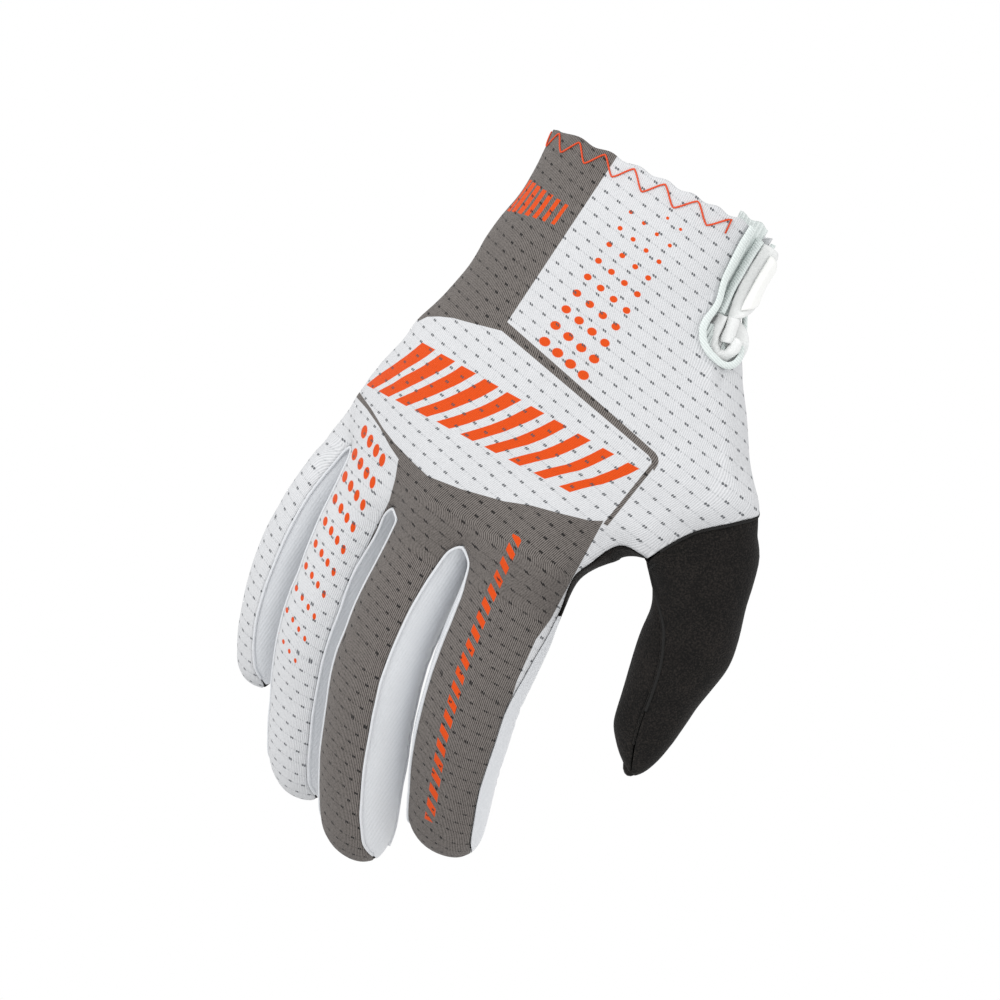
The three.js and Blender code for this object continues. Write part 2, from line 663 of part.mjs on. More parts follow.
function thumbPoint(ring, angle) {
  const tilt = rad(ring.tilt);
  const wide = sightRight.clone().multiplyScalar(Math.cos(tilt)).add(vec(0, 0, Math.sin(tilt)));
  return sightRight.clone().multiplyScalar(ring.right * PALM_BREADTH)
    .addScaledVector(sightAway, ring.away * PALM_BREADTH)
    .add(vec(0, 0, -ring.down * PALM_LENGTH))
    .addScaledVector(wide, -Math.cos(rad(angle)) * ring.half * PALM_BREADTH)
    .addScaledVector(sightAway, -Math.sin(rad(angle)) * ring.depth * PALM_BREADTH);
}

// The thumb in two panels. loop holds the points of the thumb opening, from the web over the
// back edge to the top and down the palm edge to the web again.
function thumbSkins(loop) {
  const outerCount = 12;
  const innerCount = loop.length - 1 - outerCount;
  const panel = (from, count, isOuter) => {
    const skin = new Skin();
    const columns = Array.from({ length: count + 1 }, (_, i) => {
      const knots = [loop[from + i], ...thumbRings.map((ring) => {
        const start = isOuter ? ring.seam : ring.rear;
        const end = isOuter ? ring.rear : ring.seam + 360;
        return thumbPoint(ring, lerp(start, end, share(i, count)));
      })];
      const curve = new THREE.CatmullRomCurve3(knots, false, "chordal");
      const readings = [0];
      thumbSteps.forEach((steps, segment) => {
        for (let s = 1; s <= steps; s += 1) readings.push((segment + share(s, steps)) / thumbSteps.length);
      });
      return readings.map((t) => curve.getPoint(t));
    });
    const rows = columns[0].map((_, row) => columns.map((column) => skin.add(column[row])));
    skin.sheet(rows);
    return skin;
  };
  return { outer: panel(0, outerCount, true), inner: panel(outerCount, innerCount, false) };
}

const evenSteps = (count) => Array.from({ length: count + 1 }, (_, i) => share(i, count));

// A strip of cloth laid over the wrist: rows run down, columns toward the palm.
function patchSkin(rows, columns, pointAt) {
  const skin = new Skin();
  skin.sheet(rows.map((r) => columns.map((c) => skin.add(pointAt(r, c)))));
  return skin;
}

// A rounded bead swept along a line on the hand, from { down, angle, lift } stations.
const BEAD_SIDES = 8;
function beadSolid(stations, width, rise) {
  const path = stations.map(({ down, angle, lift }) => liftedPoint(down, angle, lift + rise / 2));
  const points = [];
  const faces = [];
  stations.forEach((station, i) => {
    const before = path[Math.max(i - 1, 0)];
    const after = path[Math.min(i + 1, path.length - 1)];
    const along = after.clone().sub(before).normalize();
    const normal = handNormal(station.down, station.angle);
    const across = normal.clone().cross(along).normalize();
    for (let s = 0; s < BEAD_SIDES; s += 1) {
      const turn = (2 * Math.PI * s) / BEAD_SIDES;
      points.push(path[i].clone()
        .addScaledVector(across, (Math.cos(turn) * width) / 2)
        .addScaledVector(normal, (Math.sin(turn) * rise) / 2));
    }
  });
  for (let i = 0; i + 1 < path.length; i += 1) {
    for (let s = 0; s < BEAD_SIDES; s += 1) {
      const a = i * BEAD_SIDES + s;
      const b = i * BEAD_SIDES + ((s + 1) % BEAD_SIDES);
      faces.push([a, b, b + BEAD_SIDES], [a, b + BEAD_SIDES, a + BEAD_SIDES]);
    }
  }
  const last = (path.length - 1) * BEAD_SIDES;
  for (let s = 1; s + 1 < BEAD_SIDES; s += 1) {
    faces.push([0, s + 1, s], [last, last + s, last + s + 1]);
  }
  return { points, faces };
}

function meshOf(name, { points, faces }, look) {
  const geometry = new THREE.BufferGeometry();
  const numbers = points.flatMap((point) => [point.x, point.y, point.z]);
  geometry.setAttribute("position", new THREE.Float32BufferAttribute(numbers, 3));
  geometry.setIndex(faces.flat());
  geometry.computeVertexNormals();
  const mesh = new THREE.Mesh(geometry, new THREE.MeshStandardMaterial(look));
  mesh.name = name;
  return mesh;
}

const looks = {
  knit: { color: 0xd9dcdf, roughness: 0.85, metalness: 0 },
  suede: { color: 0x23211f, roughness: 0.95, metalness: 0 },
  twill: { color: 0xe3e5e7, roughness: 0.6, metalness: 0 },
  binding: { color: 0xe6eeec, roughness: 0.7, metalness: 0 },
  strap: { color: 0xe4e6e4, roughness: 0.8, metalness: 0 },
  grip: { color: 0xeeeeeb, roughness: 0.5, metalness: 0 },
  hook: { color: 0xd2d4d4, roughness: 0.9, metalness: 0 },
};

const HEM_BLEND = 3; // length over which the hem thins to the wall below it
const hemmed = (wall) => (point) => {
  const below = smoothstep(-point.z, HEM_HEIGHT - HEM_BLEND / 2, HEM_HEIGHT + HEM_BLEND / 2);
  return lerp(HEM_WALL, wall, below);
};
const even = (wall) => () => wall;
const onCuff = (point) => point.z >= 0;

const group = new THREE.Group();
group.name = "glove";
const place = (name, solid, look) => group.add(meshOf(name, solid, look));

const back = combSkin("back");
const palm = combSkin("palm");
const sewn = (skin, wallAt) => skin.drawIn(SEAM_GAP / 2, onCuff).solid(wallAt, seamBevelAt);
place("back_panel", sewn(back.skin, hemmed(KNIT_WALL)), looks.knit);
place("palm_panel", sewn(palm.skin, hemmed(SUEDE_WALL)), looks.suede);

const stripNames = ["fourchette_little_ring", "fourchette_ring_middle", "fourchette_middle_index"];
crotches.forEach((crotch, i) => {
  place(stripNames[i], sewn(fourchetteSkin(crotch), even(KNIT_WALL)), looks.twill);
});
place("fourchette_index_outer", sewn(indexStripSkin(), even(KNIT_WALL)), looks.twill);

// The binding that runs down one side of the wrist slit, round its end and up the other side.
const slitLoop = table(["down", "angle"], [
  [-0.002, 72], [0.05, 72], [0.1, 72], [0.15, 71.4], [0.2, 70.2], [0.235, 68.6], [0.265, 63.6],
  [0.295, 57.6], [0.32, 54.6], [0.345, 54], [0.365, 55], [0.382, 58], [0.391, 63], [0.388, 69],
  [0.375, 75.5], [0.355, 83], [0.335, 86.5], [0.31, 90.5], [0.28, 96.5], [0.24, 100.5],
  [0.19, 101.5], [0.13, 102], [0.07, 102], [0.015, 102],
]);
place("slit_binding", beadSolid(
  slitLoop.map((station) => ({ ...station, lift: LAYER_GAP })),
  BINDING_WIDTH,
  BINDING_RISE,
), looks.binding);

// The stretch gusset under the slit. It stands out above the cuff edge.
const GUSSET_END = 0.262;
const GUSSET_TUCK = 5; // degrees that it reaches under each side of the slit
const GUSSET_TOP_TUCK = 9; // the same at the cuff edge, on the back of the hand
const gussetDepth = -HEM_WALL - LAYER_GAP;
const gussetPoint = (r, c) => {
  const down = lerp(-GUSSET_TOP / PALM_LENGTH, GUSSET_END, r);
  const read = Math.max(down, 0);
  const tuck = lerp(GUSSET_TOP_TUCK, GUSSET_TUCK, smoothstep(r, 0, 0.4));
  const start = edgeAngle(read, "slitBack") - tuck;
  const end = edgeAngle(read, "slitPalm") + GUSSET_TUCK;
  return liftedPoint(down, lerp(start, end, c), gussetDepth);
};
const gussetSkin = patchSkin(evenSteps(8), evenSteps(8), gussetPoint);
place("slit_gusset", gussetSkin.solid(even(GUSSET_WALL)), looks.binding);

// The facing that shows inside the rounded end of the slit.
const FACING_TOP = 0.28;
const facingLine = slitLoop.filter((station) => station.down >= FACING_TOP);
const FACING_TUCK = 2.2; // how far it reaches under the binding
const FACING_REACH = 4.1; // how far it shows inside
const FACING_SINK = 0.55; // keeps it clear of the flat faces of the panel over it
const facingPoint = (r, c) => {
  const exact = r * (facingLine.length - 1);
  const i = Math.min(Math.floor(exact), facingLine.length - 2);
  const down = lerp(facingLine[i].down, facingLine[i + 1].down, exact - i);
  const angle = lerp(facingLine[i].angle, facingLine[i + 1].angle, exact - i);
  const depth = -KNIT_WALL - LAYER_GAP - FACING_SINK;
  const [before, after] = [i, i + 1].map((k) => liftedPoint(facingLine[k].down, facingLine[k].angle, depth));
  const along = after.sub(before).normalize();
  const inside = handNormal(down, angle).cross(along).normalize();
  return liftedPoint(down, angle, depth).addScaledVector(inside, lerp(-FACING_TUCK, FACING_REACH, c));
};
const facingSkin = patchSkin(evenSteps(facingLine.length - 1), evenSteps(2), facingPoint);
place("slit_facing", facingSkin.solid(even(GUSSET_WALL)), looks.binding);

// The strap starts in the slit beside its own seam roll, climbs over the binding and goes round
// to the palm side. at is a share of STRAP_LENGTH, edges are shares of STRAP_WIDTH.
const strapSeam = table(["down", "angle"], [
  [0.02, 90], [0.06, 89.6], [0.1, 88.8], [0.15, 86.8], [0.19, 83.5], [0.225, 79], [0.255, 73.5],
]);
place("strap_seam_roll", beadSolid(
  strapSeam.map((station) => ({ ...station, lift: gussetDepth + LAYER_GAP })),
  SEAM_ROLL_WIDTH,
  SEAM_ROLL_RISE,
), looks.binding);
const strapShape = table(["at", "top", "bottom"], [
  [0, 0, 1], [0.08, 0.02, 0.955], [0.17, 0.06, 0.885], [0.26, 0.11, 0.8], [0.36, 0.15, 0.74],
  [0.5, 0.17, 0.71], [0.88, 0.18, 0.7], [0.95, 0.22, 0.66], [1, 0.32, 0.56],
]);
const STRAP_TOP = 0.021; // share of PALM_LENGTH below the cuff edge
const STRAP_START = 4.4; // degrees between the strap and its seam roll
const STRAP_RADIUS = 40; // nominal, turns strap length into an angle
const STRAP_END = 94 + THREE.MathUtils.radToDeg(STRAP_LENGTH / STRAP_RADIUS);
const STRAP_CLIMB = 4.2; // length over which the strap rises over the slit binding
const strapSteps = [0, 0.03, 0.06, 0.1, 0.16, 0.28, 0.42, 0.56, 0.7, 0.82, 0.9, 0.95, 1];
const padOuter = LAYER_GAP + LOOP_PAD_WALL;
const strapOuter = padOuter + LAYER_GAP + HOOK_PATCH_WALL + LAYER_GAP + STRAP_WALL;

// A point of the strap's outer face: at along the strap, r across it, margin in from its edges.
function strapPoint(at, r, margin) {
  const read = (name) => sample(strapShape, "at", at, name);
  const inset = margin / STRAP_WIDTH;
  const across = lerp(read("top") + inset, read("bottom") - inset, r);
  const down = STRAP_TOP + (across * STRAP_WIDTH) / PALM_LENGTH;
  const start = sample(strapSeam, "down", down, "angle") + STRAP_START;
  const climb = smoothstep(at * STRAP_LENGTH, -1, STRAP_CLIMB);
  const low = gussetDepth + LAYER_GAP + STRAP_WALL;
  return liftedPoint(down, lerp(start, STRAP_END, at), lerp(low, strapOuter, climb));
}
const strapLayers = table(["name", "rows", "from", "to", "margin", "raised", "wall", "look"], [
  ["closure_strap", 5, 0, 1, 0, 0, STRAP_WALL, looks.strap],
  ["strap_grip", 4, 0.06, 0.9, STRAP_BORDER, LAYER_GAP + GRIP_WALL, GRIP_WALL, looks.grip],
  ["strap_hook_patch", 2, 0.42, 0.9, STRAP_BORDER, -STRAP_WALL - LAYER_GAP, HOOK_PATCH_WALL, looks.hook],
]);
for (const layer of strapLayers) {
  const steps = strapSteps.filter((at) => at >= layer.from && at <= layer.to);
  const skin = patchSkin(evenSteps(layer.rows), steps, (r, at) => strapPoint(at, r, layer.margin));
  place(layer.name, skin.raise(layer.raised).solid(even(layer.wall)), layer.look);
}

// The loop pad on the palm side of the wrist, under the strap's free end.
const padEdges = { top: 0.045, bottom: 0.215, start: 108, end: 160 };
const padPoint = (r, c) => {
  const angle = lerp(padEdges.start, padEdges.end, c);
  return liftedPoint(lerp(padEdges.top, padEdges.bottom, r), angle, padOuter);
};
const padSkin = patchSkin(evenSteps(3), evenSteps(8), padPoint);
place("strap_loop_pad", padSkin.solid(even(LOOP_PAD_WALL)), looks.hook);

const loop = [...back.hole.reverse(), ...palm.hole.slice(1)];
const thumb = thumbSkins(loop);
place("thumb_outer", sewn(thumb.outer, even(SUEDE_WALL)), looks.suede);
place("thumb_inner", sewn(thumb.inner, even(SUEDE_WALL)), looks.suede);

export default group;
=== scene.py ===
import math

import bmesh
import bpy
from mathutils import Matrix, Vector, noise
from mathutils.bvhtree import BVHTree


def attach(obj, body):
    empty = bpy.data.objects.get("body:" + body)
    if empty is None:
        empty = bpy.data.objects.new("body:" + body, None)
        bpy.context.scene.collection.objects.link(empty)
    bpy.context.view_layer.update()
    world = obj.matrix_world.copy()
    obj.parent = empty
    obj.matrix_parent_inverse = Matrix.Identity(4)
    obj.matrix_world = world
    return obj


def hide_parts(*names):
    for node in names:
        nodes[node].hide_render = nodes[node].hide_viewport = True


# A filled right-hand riding glove, fingers down. Sizes in the dictionaries are in millimetres,
# apart from the floor and the lamps, which are in metres.
print("glove: loading the frame")
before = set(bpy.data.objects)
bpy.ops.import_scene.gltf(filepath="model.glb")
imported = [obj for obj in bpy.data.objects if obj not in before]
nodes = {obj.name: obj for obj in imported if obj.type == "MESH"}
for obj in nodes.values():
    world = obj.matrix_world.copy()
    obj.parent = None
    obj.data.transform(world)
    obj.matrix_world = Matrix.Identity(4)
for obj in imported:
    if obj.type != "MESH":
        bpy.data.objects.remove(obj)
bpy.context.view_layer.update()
mm = 0.001
uvSpan = 100  # millimetres in one unit of a UV layer

# The photograph's view: how far the camera is turned and rolled, its lens, and what it looks at.
view = {"turn": 30, "roll": 28, "lens": 250, "wide": 285, "middle": (1.4, -101.8), "plane": -8,
        "furthest": 20}

turn = math.radians(view["turn"])
sightRight = Vector((math.cos(turn), math.sin(turn), 0))
towardCamera = Vector((math.sin(turn), -math.cos(turn), 0))
upward = Vector((0, 0, 1))

# Centre lines of the fingers: points, the way the back of the finger faces, and the thumb side.
# across and radius turn an angle round the finger into a distance over the cloth. printed is the
# height below which the whole back of the finger is grey.
fingerLines = {
    "little": {
        "line": [(-57.5, 15, -103), (-61, 15.3, -119.9), (-63.8, 16.9, -136.8), (-64.9, 20.2, -149.3),
                 (-65.2, 24.8, -161.3), (-64.7, 31, -172.7), (-63.5, 38.2, -183.4)],
        "back": [(-.41, -.91, .09), (-.42, -.91, .05), (-.45, -.88, -.13), (-.46, -.85, -.25),
                 (-.46, -.8, -.38), (-.46, -.74, -.5), (-.45, -.69, -.56)],
        "side": (.89, -.42, -.19), "across": -50, "radius": 9.5, "printed": None,
    },
    "ring": {
        "line": [(-39.6, 5.5, -104), (-40.3, 9, -126.4), (-40.8, 13.4, -148.6), (-40.8, 19.4, -164.4),
                 (-40.4, 27.9, -179.1), (-39.7, 37.6, -193), (-38.9, 48.6, -206)],
        "back": [(-.14, -.98, -.13), (-.15, -.98, -.16), (-.15, -.96, -.25), (-.15, -.88, -.45),
                 (-.14, -.83, -.54), (-.14, -.78, -.61), (-.14, -.72, -.68)],
        "side": (.99, -.14, -.05), "across": -36, "radius": 12, "printed": None,
    },
    "middle": {
        "line": [(-11.4, .5, -110), (-11.6, 2.7, -132.9), (-11.8, 5.4, -155.7), (-11.4, 12.3, -171.4),
                 (-10.9, 21.5, -186), (-10.3, 31.3, -200.2), (-9.5, 43.2, -212.7)],
        "back": [(-.09, -.99, -.09), (-.09, -.99, -.1), (-.09, -.97, -.21), (-.08, -.85, -.52),
                 (-.08, -.83, -.55), (-.08, -.77, -.64), (-.07, -.69, -.72)],
        "side": (1, -.09, -.02), "across": -14, "radius": 13.5, "printed": -114,
    },
    "index": {
        "line": [(18.2, 1.5, -110), (18, 5.1, -130), (17.6, 9.7, -149.8), (17.1, 15.3, -164),
                 (16.4, 23.5, -176.9), (15.4, 33.4, -188.4), (14.2, 45.3, -197.9)],
        "back": [(.1, -.98, -.16), (.1, -.97, -.2), (.1, -.95, -.28), (.1, -.88, -.47),
                 (.09, -.8, -.6), (.08, -.68, -.73), (.06, -.56, -.83)],
        "side": (.99, .1, .01), "across": 16, "radius": 15, "printed": -122,
    },
}


def smooth(value, low, high):
    t = min(max((value - low) / (high - low), 0), 1)
    return t * t * (3 - 2 * t)


def alongFinger(finger, point):
    # nearest place on a finger's centre line: distance, length along it, turn round it, way out
    beyond = -2  # the line's first step goes on upward by twice its length
    best = None
    length = 0
    line = finger["points"]
    for i in range(len(line) - 1):
        start = line[i]
        step = line[i + 1] - start
        low = beyond if i == 0 else 0
        t = min(max((point - start).dot(step) / step.length_squared, low), 1)
        out = point - start - step * t
        if best is None or out.length < best[0]:
            back = finger["backs"][i].lerp(finger["backs"][i + 1], min(max(t, 0), 1))
            angle = math.atan2(out.dot(finger["thumbSide"]), out.dot(back))
            best = (out.length, length + step.length * t, angle, out)
        length += step.length
    return best


for finger in fingerLines.values():
    finger["points"] = [Vector(point) for point in finger["line"]]
    finger["backs"] = [Vector(back) for back in finger["back"]]
    finger["thumbSide"] = Vector(finger["side"])

fingerTop = -98


def nearestFinger(point):
    # the finger that a point in millimetres lies on, and its place there; None on the hand
    if point.z > fingerTop:
        return None, None
    found = [(alongFinger(finger, point), finger) for finger in fingerLines.values()]
    place, finger = min(found, key=lambda pair: pair[0][0])
    return finger, place


# Cloth that moves: soft bulges, small puckers, and folds across the inside of the finger joints.
softness = {
    "seed": 5, "broad": 19, "broadMove": 0.55, "fine": 6.5, "fineMove": 0.16,
    "joints": (44, 70), "jointMove": 0.55, "jointWide": 7, "jointTurn": (0.9, 2.2),
    "closest": 1, "reach": 24,
    "foldPitch": 4.2, "foldShare": 0.4, "foldSwing": 0.6, "foldTurns": 3,
    "cuffShare": 0.3, "cuffFade": 6, "cuffWave": 0.45, "cuffPitch": 10.5, "cuffTop": -1,
}

noise.seed_set(softness["seed"])  # the same puckers on every run

# Places where the filled cloth is fuller, or a seam lies higher, than in the solids: across and
# height in the photograph's plane, how far it reaches, the move, and the depths it fades between.
pulls = [
    {"at": (70.2, -83), "reach": 11, "move": (2.5, 0.9), "fade": None},
    {"at": (71, -78), "reach": 10, "move": (1.9, 0.3), "fade": None},
    {"at": (60.5, -143), "reach": 10, "move": (-1.5, -0.7), "fade": None},
    {"at": (38, -102.5), "reach": 8, "move": (-1.3, 2.9), "fade": (-19.5, -13)},
    {"at": (30.5, -114), "reach": 7, "move": (-1.2, 0.6), "fade": (-15, -9)},
]


def clothMove(point):
    # one field of moves for all the pieces, so that neighbours stay the same distance apart
    below = smooth(-point.z, 0, softness["cuffFade"])
    broad = noise.noise_vector(point / softness["broad"]) * softness["broadMove"]
    fine = noise.noise_vector(point / softness["fine"]) * softness["fineMove"]
    move = (broad + fine) * (softness["cuffShare"] + (1 - softness["cuffShare"]) * below)
    wave = math.sin(2 * math.pi * (point.x + point.y) / softness["cuffPitch"])
    nearCuff = 1 - smooth(-point.z, softness["cuffTop"], softness["cuffFade"])
    move.z += softness["cuffWave"] * wave * nearCuff
    across = point.dot(sightRight)
    away = -point.dot(towardCamera)
    for pull in pulls:
        apart = math.hypot(across - pull["at"][0], point.z - pull["at"][1])
        share = math.exp(-((apart / pull["reach"]) ** 2))
        if pull["fade"]:
            share *= 1 - smooth(away, *pull["fade"])
        move += (sightRight * pull["move"][0] + upward * pull["move"][1]) * share
    finger, place = nearestFinger(point)
    if finger is None or not softness["closest"] <= place[0] <= softness["reach"]:
        return move
    _, along, angle, out = place
    palmSide = smooth(abs(angle), *softness["jointTurn"])
    swing = softness["foldSwing"] * math.sin(softness["foldTurns"] * angle)
    share = softness["foldShare"]
    for joint in softness["joints"]:
        near = math.exp(-((along - joint) / softness["jointWide"]) ** 2)
        crease = math.cos(2 * math.pi * (along - joint) / softness["foldPitch"] + swing)
        move -= out.normalized() * near * palmSide * softness["jointMove"] * (1 - share + share * crease)
    return move


def mergedCopy(name):
    # a copy of a CAD solid's mesh with its doubled corners merged
    work = bmesh.new()
    work.from_mesh(nodes[name].data)
    bmesh.ops.remove_doubles(work, verts=work.verts, dist=refining["merge"])
    return work


def meshFrom(work, name):
    mesh = bpy.data.meshes.new(name)
    work.to_mesh(mesh)
    work.free()
    return mesh


def treeOf(meshes):
    # what rays and nearest places on some meshes are found with
    work = bmesh.new()
    for mesh in meshes:
        work.from_mesh(mesh)
    tree = BVHTree.FromBMesh(work)
    work.free()
    return tree


# How a CAD solid becomes soft cloth: merge in metres, probe in millimetres, and sharp, flat and
# square in degrees.
refining = {"levels": 2, "sharp": 42, "crease": 0.62, "flat": 35, "square": 60, "merge": 1e-6,
            "probe": 0.5}

shellParts = ("back", "palm", "thumb", "fourchette")
shellTree = treeOf([node.data for name, node in nodes.items() if name.split("_")[0] in shellParts])
sideways = [Vector((1, 0, 0)), Vector((-1, 0, 0)), Vector((0, 1, 0)), Vector((0, -1, 0))]


def isInside(face):
    # True for the faces that look into the hollow of the glove
    start = face.calc_center_median() + face.normal * refining["probe"] * mm
    return all(shellTree.ray_cast(start, way)[0] is not None for way in sideways)


def finished(name, mesh, materials):
    piece = bpy.data.objects.new(name, mesh)
    bpy.context.scene.collection.objects.link(piece)
    for look in materials:
        mesh.materials.append(look)
    for face in mesh.polygons:
        face.use_smooth = True
    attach(piece, "root")
    return piece


def refine(name, materials, lined=False, levels=refining["levels"]):
    # a finer, softer copy of a CAD solid that stands for it
    work = mergedCopy(name)
    if lined:
        for face in work.faces:
            face.material_index = 1 if isInside(face) else 0
    bmesh.ops.join_triangles(
        work, faces=work.faces, angle_face_threshold=math.radians(refining["flat"]),
        angle_shape_threshold=math.radians(refining["square"]), cmp_materials=True,
    )
    crease = work.edges.layers.float.new("crease_edge")
    sharp = math.radians(refining["sharp"])
    for edge in work.edges:
        if len(edge.link_faces) == 2 and edge.calc_face_angle() > sharp:
            edge[crease] = refining["crease"]
    mesh = meshFrom(work, name + "_rough")
    rough = bpy.data.objects.new(name + "_rough", mesh)
    bpy.context.scene.collection.objects.link(rough)
    rounding = rough.modifiers.new("rounding", "SUBSURF")
    rounding.levels = levels
    rounding.render_levels = levels
    bpy.context.view_layer.update()
    fine = bpy.data.meshes.new_from_object(rough.evaluated_get(bpy.context.evaluated_depsgraph_get()))
    bpy.data.objects.remove(rough)
    bpy.data.meshes.remove(mesh)
    fine.materials.clear()
    for vertex in fine.vertices:
        vertex.co += clothMove(vertex.co / mm) * mm
    piece = finished(name + "_cloth", fine, materials)
    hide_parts(name)
    return piece


# Materials


def tint(red, green, blue):
    # a screen colour, 0 to 255, as the shader's linear colour
    parts = [part / 255 for part in (red, green, blue)]
    return [part / 12.92 if part <= 0.04045 else ((part + 0.055) / 1.055) ** 2.4 for part in parts] + [1]


class Signal:
    # a number that varies over a material, with the sums that nodes can do on it

    def __init__(self, tree, socket):
        self.tree = tree
        self.socket = socket

    def sum(self, operation, *others, clamped=False):
        node = self.tree.nodes.new("ShaderNodeMath")
        node.operation = operation
        node.use_clamp = clamped
        for i, value in enumerate((self, *others)):
            if isinstance(value, Signal):
                self.tree.links.new(value.socket, node.inputs[i])
            else:
                node.inputs[i].default_value = value
        return Signal(self.tree, node.outputs[0])

    def __add__(self, other):
        return self.sum("ADD", other)

    def __sub__(self, other):
        return self.sum("SUBTRACT", other)

    def __mul__(self, other):
        return self.sum("MULTIPLY", other)

    def __truediv__(self, other):
        return self.sum("DIVIDE", other)

    def magnitude(self):
        return self.sum("ABSOLUTE")

    def whole(self):
        return self.sum("ROUND")

    def sine(self):
        return self.sum("SINE")

    def either(self, other):
        return self.sum("MAXIMUM", other)

    def over(self, other, soft=0.14):
        # 1 where this is more than the other, with a soft edge
        return ((self - other) / soft).sum("ADD", 0.5, clamped=True)

    def within(self, low, high):
        return self.over(low) * (self * -1).over(-high)

    def line(self, points):
        # reads a broken line through points (x, y) at this x
        heights = [y for _, y in points]
        low, high = min(heights), max(heights) + 0.001  # apart also where the line is level
        start, end = points[0][0], points[-1][0]
        node = self.tree.nodes.new("ShaderNodeFloatCurve")
        curve = node.mapping.curves[0]
        for i, (x, y) in enumerate(points):
            place = ((x - start) / (end - start), (y - low) / (high - low))
            if i < 2:
                curve.points[i].location = place
            else:
                curve.points.new(*place)
        for knot in curve.points:
            knot.handle_type = "VECTOR"
        node.mapping.update()
        share = ((self - start) / (end - start)).sum("ADD", 0, clamped=True)
        self.tree.links.new(share.socket, node.inputs["Value"])
        return Signal(self.tree, node.outputs[0]) * (high - low) + low


sockets = {"roughness": "Roughness", "sheen": "Sheen Weight", "specular": "Specular IOR Level"}


def material(name, colour, cloth):
    # a material with its colour, and the numbers that its dictionary gives for the whole of it
    made = bpy.data.materials.new(name)
    made.use_nodes = True
    shader = made.node_tree.nodes["Principled BSDF"]
    shader.inputs["Base Color"].default_value = colour
    for key, socket in sockets.items():
        if key in cloth:
            shader.inputs[socket].default_value = cloth[key]
    return made, made.node_tree, shader


def mixed(signals, shares):
    # the sum of some signals, each times its share
    total = signals[0] * shares[0]
    for signal, share in zip(signals[1:], shares[1:]):
        total = total + signal * share
    return total


def coordinates(tree, layer=None):
    # the parts of a UV layer, or of the object's own coordinates, in millimetres
    if layer:
        source = tree.nodes.new("ShaderNodeUVMap")
        source.uv_map = layer
        socket = source.outputs[0]
        scale = uvSpan
    else:
        socket = tree.nodes.new("ShaderNodeTexCoord").outputs["Object"]
        scale = 1 / mm
    split = tree.nodes.new("ShaderNodeSeparateXYZ")
    tree.links.new(socket, split.inputs[0])
    return [Signal(tree, output) * scale for output in split.outputs]


def cloud(tree, size, detail):
    # noise on the object's own coordinates; size in millimetres
    place = tree.nodes.new("ShaderNodeTexCoord")
    node = tree.nodes.new("ShaderNodeTexNoise")
    node.inputs["Scale"].default_value = 1 / (size * mm)
    node.inputs["Detail"].default_value = detail
    tree.links.new(place.outputs["Object"], node.inputs["Vector"])
    return Signal(tree, node.outputs["Fac"])


def layered(tree, shader, base, layers):
    # paints colours over the base and over each other, each by its mask
    socket = None
    for mask, colour in layers:
        node = tree.nodes.new("ShaderNodeMix")
        node.data_type = "RGBA"
        tree.links.new(mask.socket, node.inputs["Factor"])
        if socket is None:
            node.inputs[6].default_value = base
        else:
            tree.links.new(socket, node.inputs[6])
        node.inputs[7].default_value = colour
        socket = node.outputs[2]
    tree.links.new(socket, shader.inputs["Base Color"])


def relief(tree, shader, height, deep):
    # bumps from a height between about 0 and 1; deep in millimetres
    node = tree.nodes.new("ShaderNodeBump")
    node.inputs["Strength"].default_value = 1
    node.inputs["Distance"].default_value = deep * mm
    tree.links.new(height.socket, node.inputs["Height"])
    tree.links.new(node.outputs[0], shader.inputs["Normal"])


# Some of these colours are painted shade: the knit's darker rib valleys and ladders, its dark holes, and
# the darker grooves of the twill and binding ribs.
colours = {
    "white": tint(209, 210, 212), "valleyShadeAndMottle": tint(166, 168, 171), "hole": tint(78, 81, 86),
    "grey": tint(122, 116, 112), "greyValleyShadeAndMottle": tint(38, 34, 32), "greyHoleShade": tint(32, 30, 29),
    "orange": tint(209, 71, 4), "thread": tint(208, 60, 2), "suede": tint(11, 10, 9),
    "suedeNap": tint(40, 36, 33), "twill": tint(216, 218, 221), "twillShadeAndMottle": tint(194, 197, 202),
    "lining": tint(196, 198, 200), "darkLining": tint(22, 21, 20), "binding": tint(222, 229, 227),
    "bindingShadeAndMottle": tint(196, 205, 203), "strap": tint(236, 237, 236), "grip": tint(236, 236, 233),
    "fuzz": tint(200, 202, 202), "floor": tint(238, 238, 238),
}

# The print on the back, in the photograph's own plane: across and height.
printed = {
    "wristRight": (-15, 0.1),
    "wristLow": [(-75, -76), (-60, -71.5), (-50, -68.6), (-43.4, -67), (-41.9, -65), (-38.8, -63.4),
                 (-35, -62), (-30, -61), (-21, -59), (-14, -58)],
    "lineHigh": [(-21.5, -55.8), (33.8, -69.4), (35.2, -70.2), (36, -71.6), (38, -74)],
    "lineLow": [(-21.5, -58.8), (32.5, -71), (33.8, -71.7), (34.6, -73), (38, -76)],
    "lineStart": -21.2, "lineEnd": 36,
    "drop": [(-94, 31), (-72.5, 35), (-68, 35.6)],
    "dropHalf": 0.65, "dropTop": -71, "dropFoot": -94,
    "blockHigh": [(-90, -76), (-60, -88), (-50, -93), (-43.8, -96), (-38, -99.4), (-33, -101.6),
                  (-25.6, -104), (-20, -105.5), (-10, -104.3), (2.5, -101.6), (10, -99), (18, -97.2),
                  (26.3, -95.1), (30.6, -93), (34, -92)],
    "tailLow": [(-90, -78), (-60, -90.3), (-49.4, -95), (-45, -96.6), (-39.4, -99.4), (-33.8, -103),
                (-30, -105), (-28, -106)],
    "tailEnd": -28.5,
    "blockLeft": [(-140, -26), (-117, -26.6), (-110.6, -28), (-105.6, -29.7), (-100, -30)],
    "greyRight": [(-230, 60), (-165, 45), (-158, 32.5), (-145, 29.8), (-132, 29), (-125, 30), (-93, 30)],
    "blockFoot": -134, "fingerSoft": 0.2,
}

